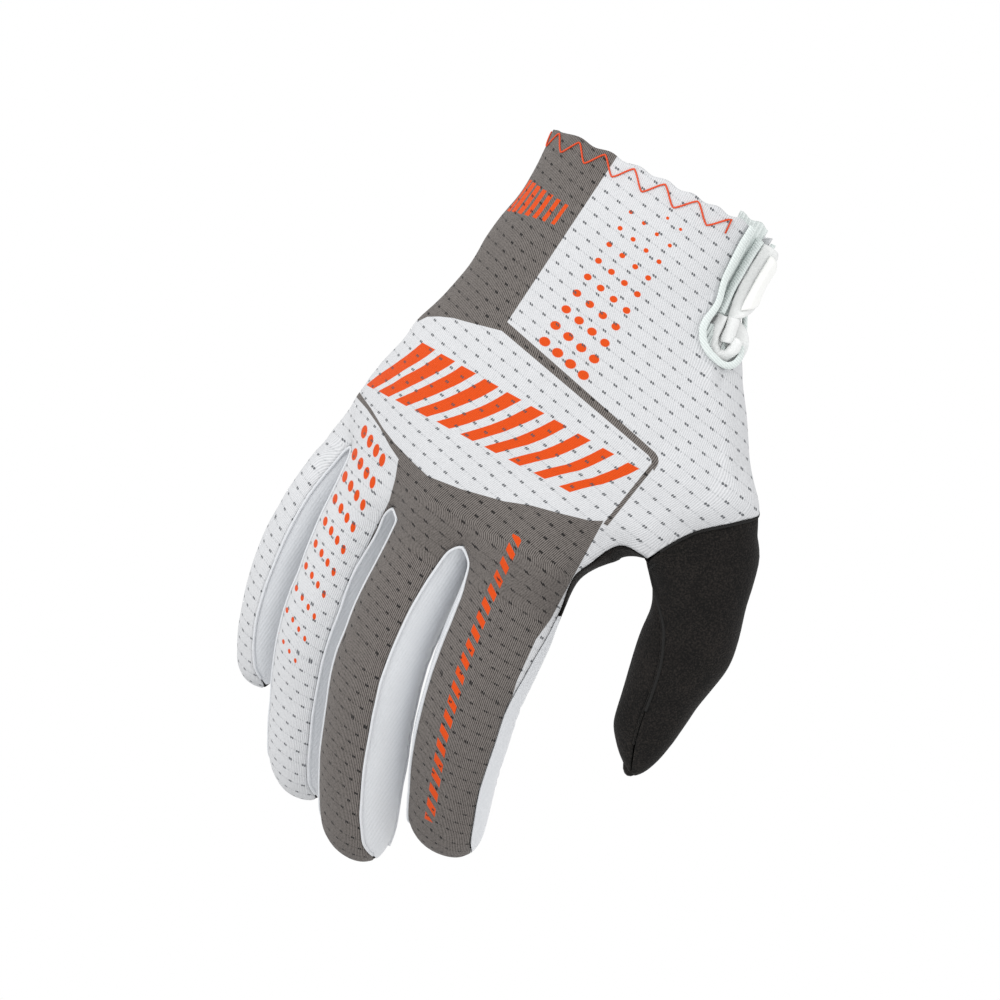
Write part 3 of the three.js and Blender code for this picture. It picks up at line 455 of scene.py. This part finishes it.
# Two fields of orange dots. wide and tall are half sizes in the first and the last row, turn is in
# degrees, and short is how many dots the first row lacks.
dots = {
    "wrist": {"columns": 4, "pitch": 4.83, "first": -2.9, "lean": 0.1, "rows": 10, "rowPitch": 5.58,
              "top": -7.2, "slope": -0.24, "wide": (0.5, 1.75), "tall": (0.45, 1.3), "turn": 28,
              "short": 2, "soft": 0.3},
    "ring": {"columns": 4, "pitch": 2.73, "first": -50.2, "lean": -0.075, "rows": 10, "rowPitch": 6.75,
             "top": -98.6, "slope": -0.55, "wide": (0.95, 0.5), "tall": (1.75, 0.55), "turn": 0,
             "short": 0, "soft": 0.3},
}


def dotMask(across, height, field):
    # rows of leaning ellipses; the rows run down from top and change size on the way
    place = (across - height * field["lean"] - field["first"]) / field["pitch"]
    column = place.whole()
    row = ((height - (across - field["first"]) * field["slope"]) * -1 + field["top"]) / field["rowPitch"]
    number = row.whole()
    right = (place - column) * field["pitch"]
    down = (row - number) * field["rowPitch"]
    turned = math.radians(field["turn"])
    share = number / (field["rows"] - 1)
    wide = share * (field["wide"][1] - field["wide"][0]) + field["wide"][0]
    tall = share * (field["tall"][1] - field["tall"][0]) + field["tall"][0]
    long = (right * math.cos(turned) - down * math.sin(turned)) / wide
    short = (right * math.sin(turned) + down * math.cos(turned)) / tall
    shape = (long * long + short * short) * -1
    inRows = number.within(-0.5, field["rows"] - 0.5)
    inColumns = column.within(-0.5, field["columns"] - 0.5)
    inFirstRow = (number * field["columns"] + column).over(field["short"] - 0.5)
    return shape.over(-1, field["soft"]) * inRows * inColumns * inFirstRow


# Two rows of plain slanted bars. half and tall are half sizes of the first and the last bar.
bars = {
    "band": {"pitch": 8.6, "slant": 0.42, "from": -46.5, "to": 31, "half": (3.0, 1.9), "middle": -82.4,
             "fall": -0.02, "tall": (9.2, 7.6)},
    "cuff": {"pitch": 3.6, "slant": 0.42, "from": -36, "to": -14.4, "half": (1.4, 0.7), "middle": -22,
             "fall": 0.0, "tall": (5.4, 3.4)},
}


def barMask(across, height, field):
    place = (across + (height - field["middle"]) * -field["slant"] - field["from"]) / field["pitch"]
    number = place.whole()
    count = round((field["to"] - field["from"]) / field["pitch"])
    share = number / count
    half = share * (field["half"][1] - field["half"][0]) + field["half"][0]
    tall = share * (field["tall"][1] - field["tall"][0]) + field["tall"][0]
    aside = ((place - number) * field["pitch"]).magnitude()
    off = (height - field["middle"] - across * field["fall"]).magnitude()
    return half.over(aside) * tall.over(off) * number.within(-0.5, count + 0.5)


# A strip of short slanted dashes down the first finger, along a line of heights and places.
dashes = {
    "line": [(-196, 27.8), (-185, 24), (-170, 19), (-150, 14.5), (-130, 12), (-108, 10.6)],
    "top": -108.5, "foot": -193, "half": 1.5, "pitch": 4.2, "filled": 0.27, "slant": 0.75,
    "soft": 0.05,
}


def dashMask(across, height):
    aside = across - height.line(dashes["line"])
    place = (height + aside * dashes["slant"]) / dashes["pitch"]
    dash = ((place - place.whole()).magnitude() * -1).over(-dashes["filled"], dashes["soft"])
    strip = (aside.magnitude() * -1).over(-dashes["half"])
    return dash * strip * height.within(dashes["foot"], dashes["top"])


# The knit: ribs, rows of paired holes and the ladders between them. In shade, greyShade and
# surface stand the shares of the ribs, the mottle, the ladders and, in surface, the holes.
knitting = {
    "roughness": 0.86, "sheen": 0.06, "specular": 0.25, "deep": 0.16, "grain": 0.55,
    "wale": 0.62, "holePitch": 5.1, "rowPitch": 3.65, "rowTilt": 0.176, "pair": 0.34,
    "holeWide": 0.26, "holeTall": 0.36, "holeSoft": 0.5, "holeShade": 0.9,
    "rung": 1.02, "rungLow": -0.3, "rungSoft": 0.6, "ladder": 0.2, "ladderSoft": 0.2,
    "shade": (-0.35, 0.9, 0.45), "shadeLow": 0.3,
    "greyShade": (-0.55, 1.2, 0.3), "greyShadeLow": 0.25,
    "surface": (0.3, 0.7, -0.3, -1.6),
}


def knitMaterial():
    made, tree, shader = material("knit", colours["white"], knitting)
    across, height, _ = coordinates(tree, "print")
    clothAcross, clothHeight, _ = coordinates(tree, "cloth")
    beside, along, _ = coordinates(tree, "weave")
    grey = tree.nodes.new("ShaderNodeAttribute")
    grey.attribute_name = "grey"
    printedFinger = Signal(tree, grey.outputs["Fac"])

    wristEdge = height * printed["wristRight"][1] + printed["wristRight"][0]
    wrist = wristEdge.over(across) * height.over(across.line(printed["wristLow"]))
    line = across.line(printed["lineHigh"]).over(height) * height.over(across.line(printed["lineLow"]))
    line = line * across.within(printed["lineStart"], printed["lineEnd"])
    drop = ((across - height.line(printed["drop"])).magnitude() * -1).over(-printed["dropHalf"])
    drop = drop * height.within(printed["dropFoot"], printed["dropTop"])
    below = across.line(printed["blockHigh"]).over(height)
    block = below * across.over(height.line(printed["blockLeft"]))
    block = block * height.over(printed["blockFoot"])
    tail = below * height.over(across.line(printed["tailLow"]))
    tail = tail * (across * -1).over(-printed["tailEnd"])
    fingers = block.either(printedFinger.over(0.5, printed["fingerSoft"]))
    fingers = fingers * height.line(printed["greyRight"]).over(across)
    greyMask = wrist.either(line).either(drop).either(tail).either(fingers)
    orangeMask = dotMask(across, height, dots["wrist"]).either(dotMask(across, height, dots["ring"]))
    for field in bars.values():
        orangeMask = orangeMask.either(barMask(clothAcross, clothHeight, field))
    orangeMask = orangeMask.either(dashMask(across, height))

    rib = (beside * (2 * math.pi / knitting["wale"])).sine()
    rows = (along + beside * knitting["rowTilt"]) / knitting["rowPitch"]
    row = rows.whole()
    stagger = row * 0.5 - (row * 0.5).sum("FLOOR")
    columns = beside / knitting["holePitch"] + stagger
    right = ((columns - columns.whole()) * knitting["holePitch"]).magnitude() - knitting["pair"]
    down = (rows - row) * knitting["rowPitch"]
    shape = (right / knitting["holeWide"]) * (right / knitting["holeWide"])
    shape = shape + (down / knitting["holeTall"]) * (down / knitting["holeTall"])
    hole = (shape * -1).over(-1, knitting["holeSoft"])
    rung = (beside * (2 * math.pi / knitting["rung"])).sine()
    rung = rung.over(knitting["rungLow"], knitting["rungSoft"])
    ladder = (down.magnitude() * -1).over(-knitting["ladder"], knitting["ladderSoft"]) * rung
    mottle = cloud(tree, knitting["grain"], detail=3)
    woven = (rib, mottle, ladder)
    # painted shade: the white knit is coloured darker in the rib valleys and along the ladder grooves,
    # over a random mottle
    shade = mixed(woven, knitting["shade"]).sum("SUBTRACT", knitting["shadeLow"], clamped=True)
    # painted shade on the grey print: darker in the rib valleys and along the ladder grooves, over a
    # random mottle
    greyShade = mixed(woven, knitting["greyShade"])
    greyShade = greyShade.sum("SUBTRACT", knitting["greyShadeLow"], clamped=True)
    layered(tree, shader, colours["white"], [
        (shade, colours["valleyShadeAndMottle"]),
        (greyMask, colours["grey"]),
        (greyMask * greyShade, colours["greyValleyShadeAndMottle"]),
        (orangeMask, colours["orange"]),
        # painted shade: the holes are coloured dark for the shade inside them, darker still on the grey
        # print
        (hole * knitting["holeShade"], colours["hole"]),
        (hole * greyMask, colours["greyHoleShade"]),
    ])
    relief(tree, shader, mixed((*woven, hole), knitting["surface"]), knitting["deep"])
    return made


# Suede: napShare and patchShare say how much of the nap and of the broad patches is lighter.
napped = {
    "roughness": 0.95, "sheen": 0.05, "specular": 0.2, "nap": 0.5, "patch": 9,
    "napShare": 3.2, "patchShare": 0.8, "low": 1.75, "patchRelief": 0.4, "deep": 0.3,
}


def suedeMaterial():
    made, tree, shader = material("suede", colours["suede"], napped)
    nap = cloud(tree, napped["nap"], detail=2)
    patches = cloud(tree, napped["patch"], detail=3)
    fibres = mixed((nap, patches), (napped["napShare"], napped["patchShare"]))
    fibres = fibres.sum("SUBTRACT", napped["low"], clamped=True)
    layered(tree, shader, colours["suede"], [(fibres, colours["suedeNap"])])
    relief(tree, shader, nap + patches * napped["patchRelief"], napped["deep"])
    return made


# Cloths with straight ribs. ways says how fast the ribs pass along X, Y and Z, ribShade and
# ribRelief how much the ribs count beside the mottle in the colour and in the relief.
ribbed = {
    "twill": {
        "colour": "twill", "dip": "twillShadeAndMottle", "roughness": 0.5, "sheen": 0.2, "grain": 0.8,
        "pitch": 0.62, "ways": (0.9, 0.7, 1.1), "ribShade": -0.3, "ribRelief": 0.5, "deep": 0.07,
    },
    "binding": {
        "colour": "binding", "dip": "bindingShadeAndMottle", "roughness": 0.7, "sheen": 0.15, "grain": 0.7,
        "pitch": 0.8, "ways": (0.3, 0.2, 1), "ribShade": -0.4, "ribRelief": 0.6, "deep": 0.12,
    },
    "gusset": {
        "colour": "binding", "dip": "bindingShadeAndMottle", "roughness": 0.7, "sheen": 0.15, "grain": 0.7,
        "pitch": 1.1, "ways": (1, 0.4, 0), "ribShade": -0.4, "ribRelief": 0.6, "deep": 0.3,
    },
}
mottling = {"ribbed": 0.5, "ribbedLow": 0.05, "plain": 0.8}


def ribbedMaterial(name):
    cloth = ribbed[name]
    base = colours[cloth["colour"]]
    made, tree, shader = material(name, base, cloth)
    turned = mixed(coordinates(tree), cloth["ways"])
    ridge = (turned * (2 * math.pi / cloth["pitch"])).sine()
    mottle = cloud(tree, cloth["grain"], detail=3)
    # painted shade: the cloth is coloured darker in the grooves between the ribs, mixed with a random
    # mottle
    dip = mixed((ridge, mottle), (cloth["ribShade"], mottling["ribbed"]))
    dip = dip.sum("ADD", mottling["ribbedLow"], clamped=True)
    layered(tree, shader, base, [(dip, colours[cloth["dip"]])])
    relief(tree, shader, ridge * cloth["ribRelief"] + mottle, cloth["deep"])
    return made


# Plain cloths: the colour of the mottle, and its grain and depth.
plain = {
    "lining": {"dip": "valleyShadeAndMottle", "roughness": 0.9, "grain": 0.8, "deep": 0.15},
    "darkLining": {"dip": "suede", "roughness": 0.95, "grain": 0.8, "deep": 0.15},
    "strap": {"dip": "fuzz", "roughness": 0.75, "grain": 0.5, "deep": 0.08},
    "grip": {"dip": "strap", "roughness": 0.5, "grain": 1.6, "deep": 0.03},
    "fuzz": {"dip": "bindingShadeAndMottle", "roughness": 0.95, "grain": 0.4, "deep": 0.5},
    "thread": {"dip": "orange", "roughness": 0.6, "grain": 0.3, "deep": 0.1},
}


def plainMaterial(name):
    cloth = plain[name]
    made, tree, shader = material(name, colours[name], cloth)
    mottle = cloud(tree, cloth["grain"], detail=4)
    layered(tree, shader, colours[name], [(mottle * mottling["plain"], colours[cloth["dip"]])])
    relief(tree, shader, mottle, cloth["deep"])
    return made


looks = {"knit": knitMaterial(), "suede": suedeMaterial()}
looks.update({name: ribbedMaterial(name) for name in ribbed})
looks.update({name: plainMaterial(name) for name in plain})

print("glove: panels")
back = refine("back_panel", [looks["knit"], looks["lining"]], lined=True)
palm = refine("palm_panel", [looks["suede"], looks["darkLining"]], lined=True)
thumbs = {name: refine(name, [looks["suede"], looks["darkLining"]], lined=True)
          for name in ("thumb_outer", "thumb_inner")}
strips = {name: refine(name, [looks["twill"], looks["lining"]], lined=True, levels=3)
          for name in nodes if name.startswith("fourchette")}


# The back panel's cloth measured round the hand, in bands of height and steps of angle. Between
# the two fingerStart depths the weave passes from the hand to the fingers.
around = {"step": 3, "half": 45, "low": -132, "high": 6, "reach": 4, "fingerStart": (110, 128)}


def turnOf(point, middle):
    # the angle round the hand, in steps: half is the back, and 0 and twice half are the palm
    return math.atan2(point.x - middle.x, middle.y - point.y) / math.pi * around["half"] + around["half"]


def meanNear(values, key):
    # the mean over the height bands near one band
    reach = range(key - around["reach"], key + around["reach"] + 1)
    near = [values[other] for other in reach if other in values]
    return sum(near[1:], near[0]) / len(near)


def lengthRound(total, slot):
    low = min(max(math.floor(slot), 0), 2 * around["half"] - 1)
    return total[low] + (total[low + 1] - total[low]) * (slot - low)


def girths(mesh):
    # for each height band of the back panel: its centre, the cloth's length round it by angle,
    # and what turns that length into a place on the print beyond the little-finger side
    bands = {}
    for face in mesh.polygons:
        if face.material_index == 0:
            for index in face.vertices:
                point = mesh.vertices[index].co / mm
                if around["low"] < point.z < around["high"]:
                    bands.setdefault(round(point.z / around["step"]), []).append(point)
    middles = {key: (min(points, key=lambda point: point.x) + max(points, key=lambda point: point.x)) / 2
               for key, points in bands.items()}
    middles = {key: meanNear(middles, key) for key in middles}
    totals = {}
    for key, points in bands.items():
        cells = {}
        for point in points:
            cells.setdefault(round(turnOf(point, middles[key])), []).append(point.xy)
        means = {slot: sum(found[1:], found[0]) / len(found) for slot, found in cells.items()}
        total = [0]
        for slot in range(1, 2 * around["half"] + 1):
            ends = [means[min(means, key=lambda known: abs(known - want))] for want in (slot - 1, slot)]
            total.append(total[-1] + (ends[1] - ends[0]).length)
        totals[key] = Vector([value - total[around["half"]] for value in total])
    totals = {key: meanNear(totals, key) for key in totals}
    edges = {}
    for key, points in bands.items():
        furthest = min(points, key=lambda point: point.dot(sightRight))
        edges[key] = furthest.dot(sightRight) - lengthRound(totals[key], turnOf(furthest, middles[key]))
    return {key: (middles[key], totals[key], meanNear(edges, key)) for key in bands}


def onHand(bands, point):
    # the cloth's length from the middle of the back to a point, and what the print adds to it
    exact = point.z / around["step"]
    low = math.floor(exact)
    first, second = (bands[min(max(key, min(bands)), max(bands))] for key in (low, low + 1))
    middle, total = (first[i].lerp(second[i], exact - low) for i in range(2))
    return lengthRound(total, turnOf(point, middle)), first[2] + (second[2] - first[2]) * (exact - low)


def mapKnit(mesh):
    # the print, the cloth and the weave as UV layers, and the printed fingers as an attribute
    bands = girths(mesh)
    places = {"print": [], "cloth": [], "weave": []}
    greyness = []
    for vertex in mesh.vertices:
        point = vertex.co / mm
        across = point.dot(sightRight)
        beside, added = onHand(bands, point)
        if vertex.normal.dot(towardCamera) < 0 and point.x < 0 and point.z > fingerTop:
            across = min(across, beside + added)
        places["print"].append((across / uvSpan, point.z / uvSpan))
        places["cloth"].append((beside / uvSpan, point.z / uvSpan))
        along = point.z
        finger, place = nearestFinger(point)
        grey = 0
        if finger:
            share = smooth(-point.z, *around["fingerStart"])
            top = finger["points"][0].z
            beside += (finger["across"] + finger["radius"] * place[2] - beside) * share
            along += (top - place[1] - along) * share
            grey = 1 if finger["printed"] and point.z < finger["printed"] else 0
        places["weave"].append((beside / uvSpan, along / uvSpan))
        greyness.append(grey)
    for layer, found in places.items():
        data = mesh.uv_layers.new(name=layer).data
        for loop in mesh.loops:
            data[loop.index].uv = found[loop.vertex_index]
    mesh.attributes.new("grey", "FLOAT", "POINT").data.foreach_set("value", greyness)


mapKnit(back.data)

print("glove: wrist slit and strap")
# each small piece's material slot and look
small = {
    "slit_binding": ("binding", "binding"), "slit_gusset": ("binding", "gusset"),
    "slit_facing": ("binding", "gusset"), "strap_seam_roll": ("binding", "binding"),
    "closure_strap": ("strap", "strap"), "strap_grip": ("grip", "grip"),
    "strap_hook_patch": ("hook", "fuzz"), "strap_loop_pad": ("hook", "fuzz"),
}
trims = {name: refine(name, [looks[look]]) for name, (slot, look) in small.items()}


def tube(path, radius, sides, closed):
    # a round thread along points in metres
    work = bmesh.new()
    rings = []
    count = len(path)
    before = None
    for i, point in enumerate(path):
        ahead = path[(i + 1) % count] if closed or i + 1 < count else point
        behind = path[i - 1] if closed or i else point
        along = (ahead - behind).normalized()
        if before is None:
            before = along.orthogonal()
        across = (before - along * before.dot(along)).normalized()
        before = across
        other = along.cross(across)
        rings.append([work.verts.new(point + (
            across * math.cos(2 * math.pi * s / sides) + other * math.sin(2 * math.pi * s / sides)
        ) * radius) for s in range(sides)])
    for i in range(count if closed else count - 1):
        first, second = rings[i], rings[(i + 1) % count]
        for s in range(sides):
            t = (s + 1) % sides
            work.faces.new([first[s], first[t], second[t], second[s]])
    if not closed:
        work.faces.new(rings[0][::-1])
        work.faces.new(rings[-1])
    work.normal_update()
    bmesh.ops.recalc_face_normals(work, faces=work.faces)
    return meshFrom(work, "tube")


print("glove: cuff stitching")
# top and foot are the zigzag's heights, peak is where one of its peaks stands across the view, and
# gap is the stretch of angles at the slit that has no thread. A ray starts at reach from the middle.
cuff = {"pitch": 10.8, "top": -1.1, "foot": -6, "peak": 22.1, "rounding": 0.35, "radius": 0.27,
        "sides": 8, "gap": (69, 110), "sink": 0.08, "reach": 80, "lower": 0.3, "endTurn": 0.5,
        "endUp": 0.5}
cuffTree = treeOf([back.data, palm.data])


def cuffPoint(angle, height):
    # where a ray from outside meets the cuff, or lower down where it meets nothing there: angle 0 is
    # the back of the hand and 90 the thumb side
    way = Vector((math.sin(math.radians(angle)), -math.cos(math.radians(angle)), 0))
    place = None
    while place is None:
        start = way * cuff["reach"] * mm + upward * height * mm
        place, normal, _, _ = cuffTree.ray_cast(start, -way)
        height -= cuff["lower"]
    return place + normal * (cuff["radius"] - cuff["sink"]) * mm


def cuffAngles():
    # each degree round the cuff: its angle, the length so far, and its place across the view
    middle = (cuff["top"] + cuff["foot"]) / 2
    angles = [cuff["gap"][1] - 360 + i for i in range(360 - cuff["gap"][1] + cuff["gap"][0] + 1)]
    length = 0
    before = None
    found = []
    for angle in angles:
        point = cuffPoint(angle, middle)
        length += (point - before).length / mm if before else 0
        before = point
        found.append((angle, length, point.dot(sightRight) / mm))
    return found


stations = cuffAngles()
onBack = [station for station in stations if abs(station[0]) < 90]  # the back of the hand
peakLength = min(onBack, key=lambda station: abs(station[2] - cuff["peak"]))[1]
stitchPath = []
for angle, length, _ in stations:
    phase = (length - peakLength) / cuff["pitch"]
    wave = abs((phase % 1) - 0.5) * 2
    rounded = smooth(wave, 0, 1) * cuff["rounding"] + wave * (1 - cuff["rounding"])
    stitchPath.append(cuffPoint(angle, cuff["foot"] + (cuff["top"] - cuff["foot"]) * rounded))
stitchPath.append(cuffPoint(cuff["gap"][0] + cuff["endTurn"], cuff["foot"] + cuff["endUp"]))
finished("cuff_zigzag_thread", tube(stitchPath, cuff["radius"] * mm, cuff["sides"], False),
         [looks["thread"]])

print("glove: folded cloth in the end of the slit")
# low and high are the heights of the slit's end. Each path is a roll of cloth, across and height.
fold = {
    "low": -39, "high": -27, "behind": 2.4, "radius": 1.7, "sides": 16, "steps": 4,
    "pucker": 2.2, "puckerMove": 0.35,
    "paths": [
        [(32.6, -26), (32.7, -29), (32.9, -32), (33.8, -35), (36, -36.6), (38.4, -36), (39.8, -33),
         (39.6, -29)],
        [(35.8, -25), (36.4, -28), (36.7, -31), (37.2, -33)],
    ],
    "sheet": {"across": 36, "height": -32.5, "half": 7.5, "flat": 0.2, "behind": 5.2, "pucker": 2.2,
              "puckerMove": 0.6, "rounds": 4},
}


def inSight(across, height, away):
    # a place in metres from how far it lies across, up and away in the photograph's view
    return (sightRight * across + upward * height - towardCamera * away) * mm


def ball(rounds):
    # a ball of radius 1 that the caller shapes
    work = bmesh.new()
    bmesh.ops.create_icosphere(work, subdivisions=rounds, radius=1)
    return work


# the binding round the slit's end says how far away the folds lie
ring = [vertex.co for vertex in trims["slit_binding"].data.vertices
        if fold["low"] < vertex.co.z / mm < fold["high"]]
ringAway = sum(-place.dot(towardCamera) for place in ring) / len(ring) / mm
for number, corners in enumerate(fold["paths"]):
    path = []
    for first, second in zip(corners[:-1], corners[1:]):
        for k in range(fold["steps"]):
            across, height = (a + (b - a) * k / fold["steps"] for a, b in zip(first, second))
            path.append(inSight(across, height, ringAway + fold["behind"]))
    mesh = tube(path, fold["radius"] * mm, fold["sides"], False)
    for vertex in mesh.vertices:
        vertex.co += noise.noise_vector(vertex.co / mm / fold["pucker"]) * fold["puckerMove"] * mm
    finished(f"slit_fold_{number + 1}", mesh, [looks["strap"]])
sheet = fold["sheet"]
work = ball(sheet["rounds"])
middle = inSight(sheet["across"], sheet["height"], ringAway + sheet["behind"])
for vertex in work.verts:
    bump = noise.noise(vertex.co * sheet["pucker"]) * sheet["puckerMove"] * mm
    right, up, out = vertex.co
    flat = sightRight * right + upward * up + towardCamera * out * sheet["flat"]
    vertex.co = middle + flat * sheet["half"] * mm + towardCamera * bump
finished("slit_fold_back", meshFrom(work, "slit_sheet"), [looks["strap"]])

print("glove: turned edges")
# thin, sharp and short say which rims count: wall, angle at the edge, and the least length
lip = {"radius": 0.5, "suedeRadius": 0.36, "seamRadius": 0.46, "sides": 8, "seat": 0.5,
       "step": 1.2, "smoothing": 2, "thin": 2.7, "sharp": 32, "short": 12}


def rimChains(name):
    # chains of corners along the outer border of a CAD sheet's thin rim, and whether each closes
    work = mergedCopy(name)
    limit = math.radians(lip["sharp"])
    rim = set()
    for face in work.faces:
        lengths = sorted(edge.calc_length() for edge in face.edges)
        if lengths[0] < lip["thin"] * mm and 2 * face.calc_area() / lengths[-1] < lip["thin"] * mm:
            rim.add(face)
    beside = {}
    for face in rim:
        for edge in face.edges:
            other = [linked for linked in edge.link_faces if linked not in rim]
            if other and edge.calc_face_angle(0) > limit and not isInside(other[0]):
                first, second = (vert.index for vert in edge.verts)
                beside.setdefault(first, set()).add(second)
                beside.setdefault(second, set()).add(first)
    work.verts.ensure_lookup_table()
    places = {index: work.verts[index].co.copy() for index in beside}
    work.free()
    chains = []
    left = set(beside)
    while left:
        start = min(left, key=lambda index: (len(beside[index]) == 2, index))
        chain = [start]
        left.discard(start)
        while True:
            ahead = sorted(other for other in beside[chain[-1]] if other in left)
            if not ahead:
                break
            chain.append(ahead[0])
            left.discard(ahead[0])
        closed = len(chain) > 2 and chain[0] in beside[chain[-1]]
        points = [places[index] for index in chain]
        if sum((points[i] - points[i - 1]).length for i in range(1, len(points))) > lip["short"] * mm:
            chains.append((points, closed))
    return chains


def evenPath(chain, closed, step):
    # a chain cut into even steps
    points = []
    for i in range(len(chain) if closed else len(chain) - 1):
        ahead = chain[(i + 1) % len(chain)]
        count = max(1, round((ahead - chain[i]).length / (step * mm)))
        points += [chain[i].lerp(ahead, k / count) for k in range(count)]
    return points if closed else points + [chain[-1]]


def evened(points, closed, rounds):
    # each round moves a point halfway to the middle of its neighbours
    for _ in range(rounds):
        count = len(points)
        inner = [(points[i - 1] + points[i] * 2 + points[(i + 1) % count]) / 4 for i in range(count)]
        points = inner if closed else [points[0]] + inner[1:-1] + [points[-1]]
    return points


def edging(name, piece, radius, look):
    # a thin turned edge along the outer rim of a panel, which closes its seam
    chains = rimChains(name)
    print("glove: turned edges", name, [(len(chain), closed) for chain, closed in chains])
    tree = treeOf([piece.data])
    for number, (chain, closed) in enumerate(chains):
        path = []
        for point in evenPath(chain, closed, lip["step"]):
            moved = point + clothMove(point / mm) * mm
            place = tree.find_nearest(moved)[0]
            path.append(place.lerp(moved, lip["seat"]))
        path = evened(path, closed, lip["smoothing"])
        edge = tube(path, radius * mm, lip["sides"], closed)
        finished(f"{name}_edge_{number + 1}", edge, [look])


for name, piece in strips.items():
    if name != "fourchette_index_outer":
        edging(name, piece, lip["radius"], looks["twill"])

# the sewn ends of both thumb panels, which fill the notch at the thumb's tip
tip = {"across": 70.5, "height": -147.6, "away": -0.1, "half": (3.4, 6.8, 2.6), "rounds": 3}
work = ball(tip["rounds"])
middle = inSight(tip["across"], tip["height"], tip["away"])
for vertex in work.verts:
    wide, tall, deep = (part * half * mm for part, half in zip(vertex.co, tip["half"]))
    vertex.co = middle + sightRight * wide + upward * tall + towardCamera * deep
finished("thumb_tip_seam_allowance", meshFrom(work, "thumb_tip_seam_allowance"),
         [looks["suede"]])
edging("thumb_inner", thumbs["thumb_inner"], lip["suedeRadius"], looks["suede"])
edging("thumb_outer", thumbs["thumb_outer"], lip["seamRadius"], looks["darkLining"])

print("glove: stage")
floor = {"radius": 0.6, "height": -0.36, "sides": 96, "roughness": 0.9}
work = bmesh.new()
bmesh.ops.create_circle(work, cap_ends=True, segments=floor["sides"], radius=floor["radius"])
for vertex in work.verts:
    vertex.co.z = floor["height"]
ground = bpy.data.objects.new("floor", meshFrom(work, "floor"))
bpy.context.scene.collection.objects.link(ground)
ground.data.materials.append(material("floor", colours["floor"], floor)[0])

scene = bpy.context.scene
scene.view_settings.view_transform = "Standard"
world = bpy.data.worlds.new("studio")
world.use_nodes = True
world.node_tree.nodes["Background"].inputs["Color"].default_value = (1, 1, 1, 1)
world.node_tree.nodes["Background"].inputs["Strength"].default_value = 1.0
scene.world = world

roll = math.radians(view["roll"])
imageRight = sightRight * math.cos(roll) + upward * math.sin(roll)
imageUp = upward * math.cos(roll) - sightRight * math.sin(roll)
target = sightRight * view["middle"][0] + upward * view["middle"][1] - towardCamera * view["plane"]
target *= mm


def aimed(data, name, place, up):
    made = bpy.data.objects.new(name, data)
    scene.collection.objects.link(made)
    back = (place - target).normalized()
    right = up.cross(back).normalized()
    over = back.cross(right)
    made.matrix_world = Matrix.Translation(place) @ Matrix((right, over, back)).transposed().to_4x4()
    return made


camera = bpy.data.cameras.new("camera")
camera.lens = view["lens"]
camera.clip_end = view["furthest"]
distance = view["wide"] * view["lens"] / camera.sensor_width
scene.camera = aimed(camera, "camera", target + towardCamera * distance * mm, imageUp)

# Lamps: right, up and out from what the camera looks at, and the power in watts.
lamps = {
    "key": {"right": -0.7, "up": 0.9, "out": 0.8, "size": 0.7, "power": 8},
    "fill": {"right": 0.9, "up": 0.1, "out": 0.9, "size": 0.9, "power": 2.6},
}
for name, lamp in lamps.items():
    data = bpy.data.lights.new(name, "AREA")
    data.size = lamp["size"]
    data.energy = lamp["power"]
    place = target + imageRight * lamp["right"] + imageUp * lamp["up"] + towardCamera * lamp["out"]
    aimed(data, name, place, upward)
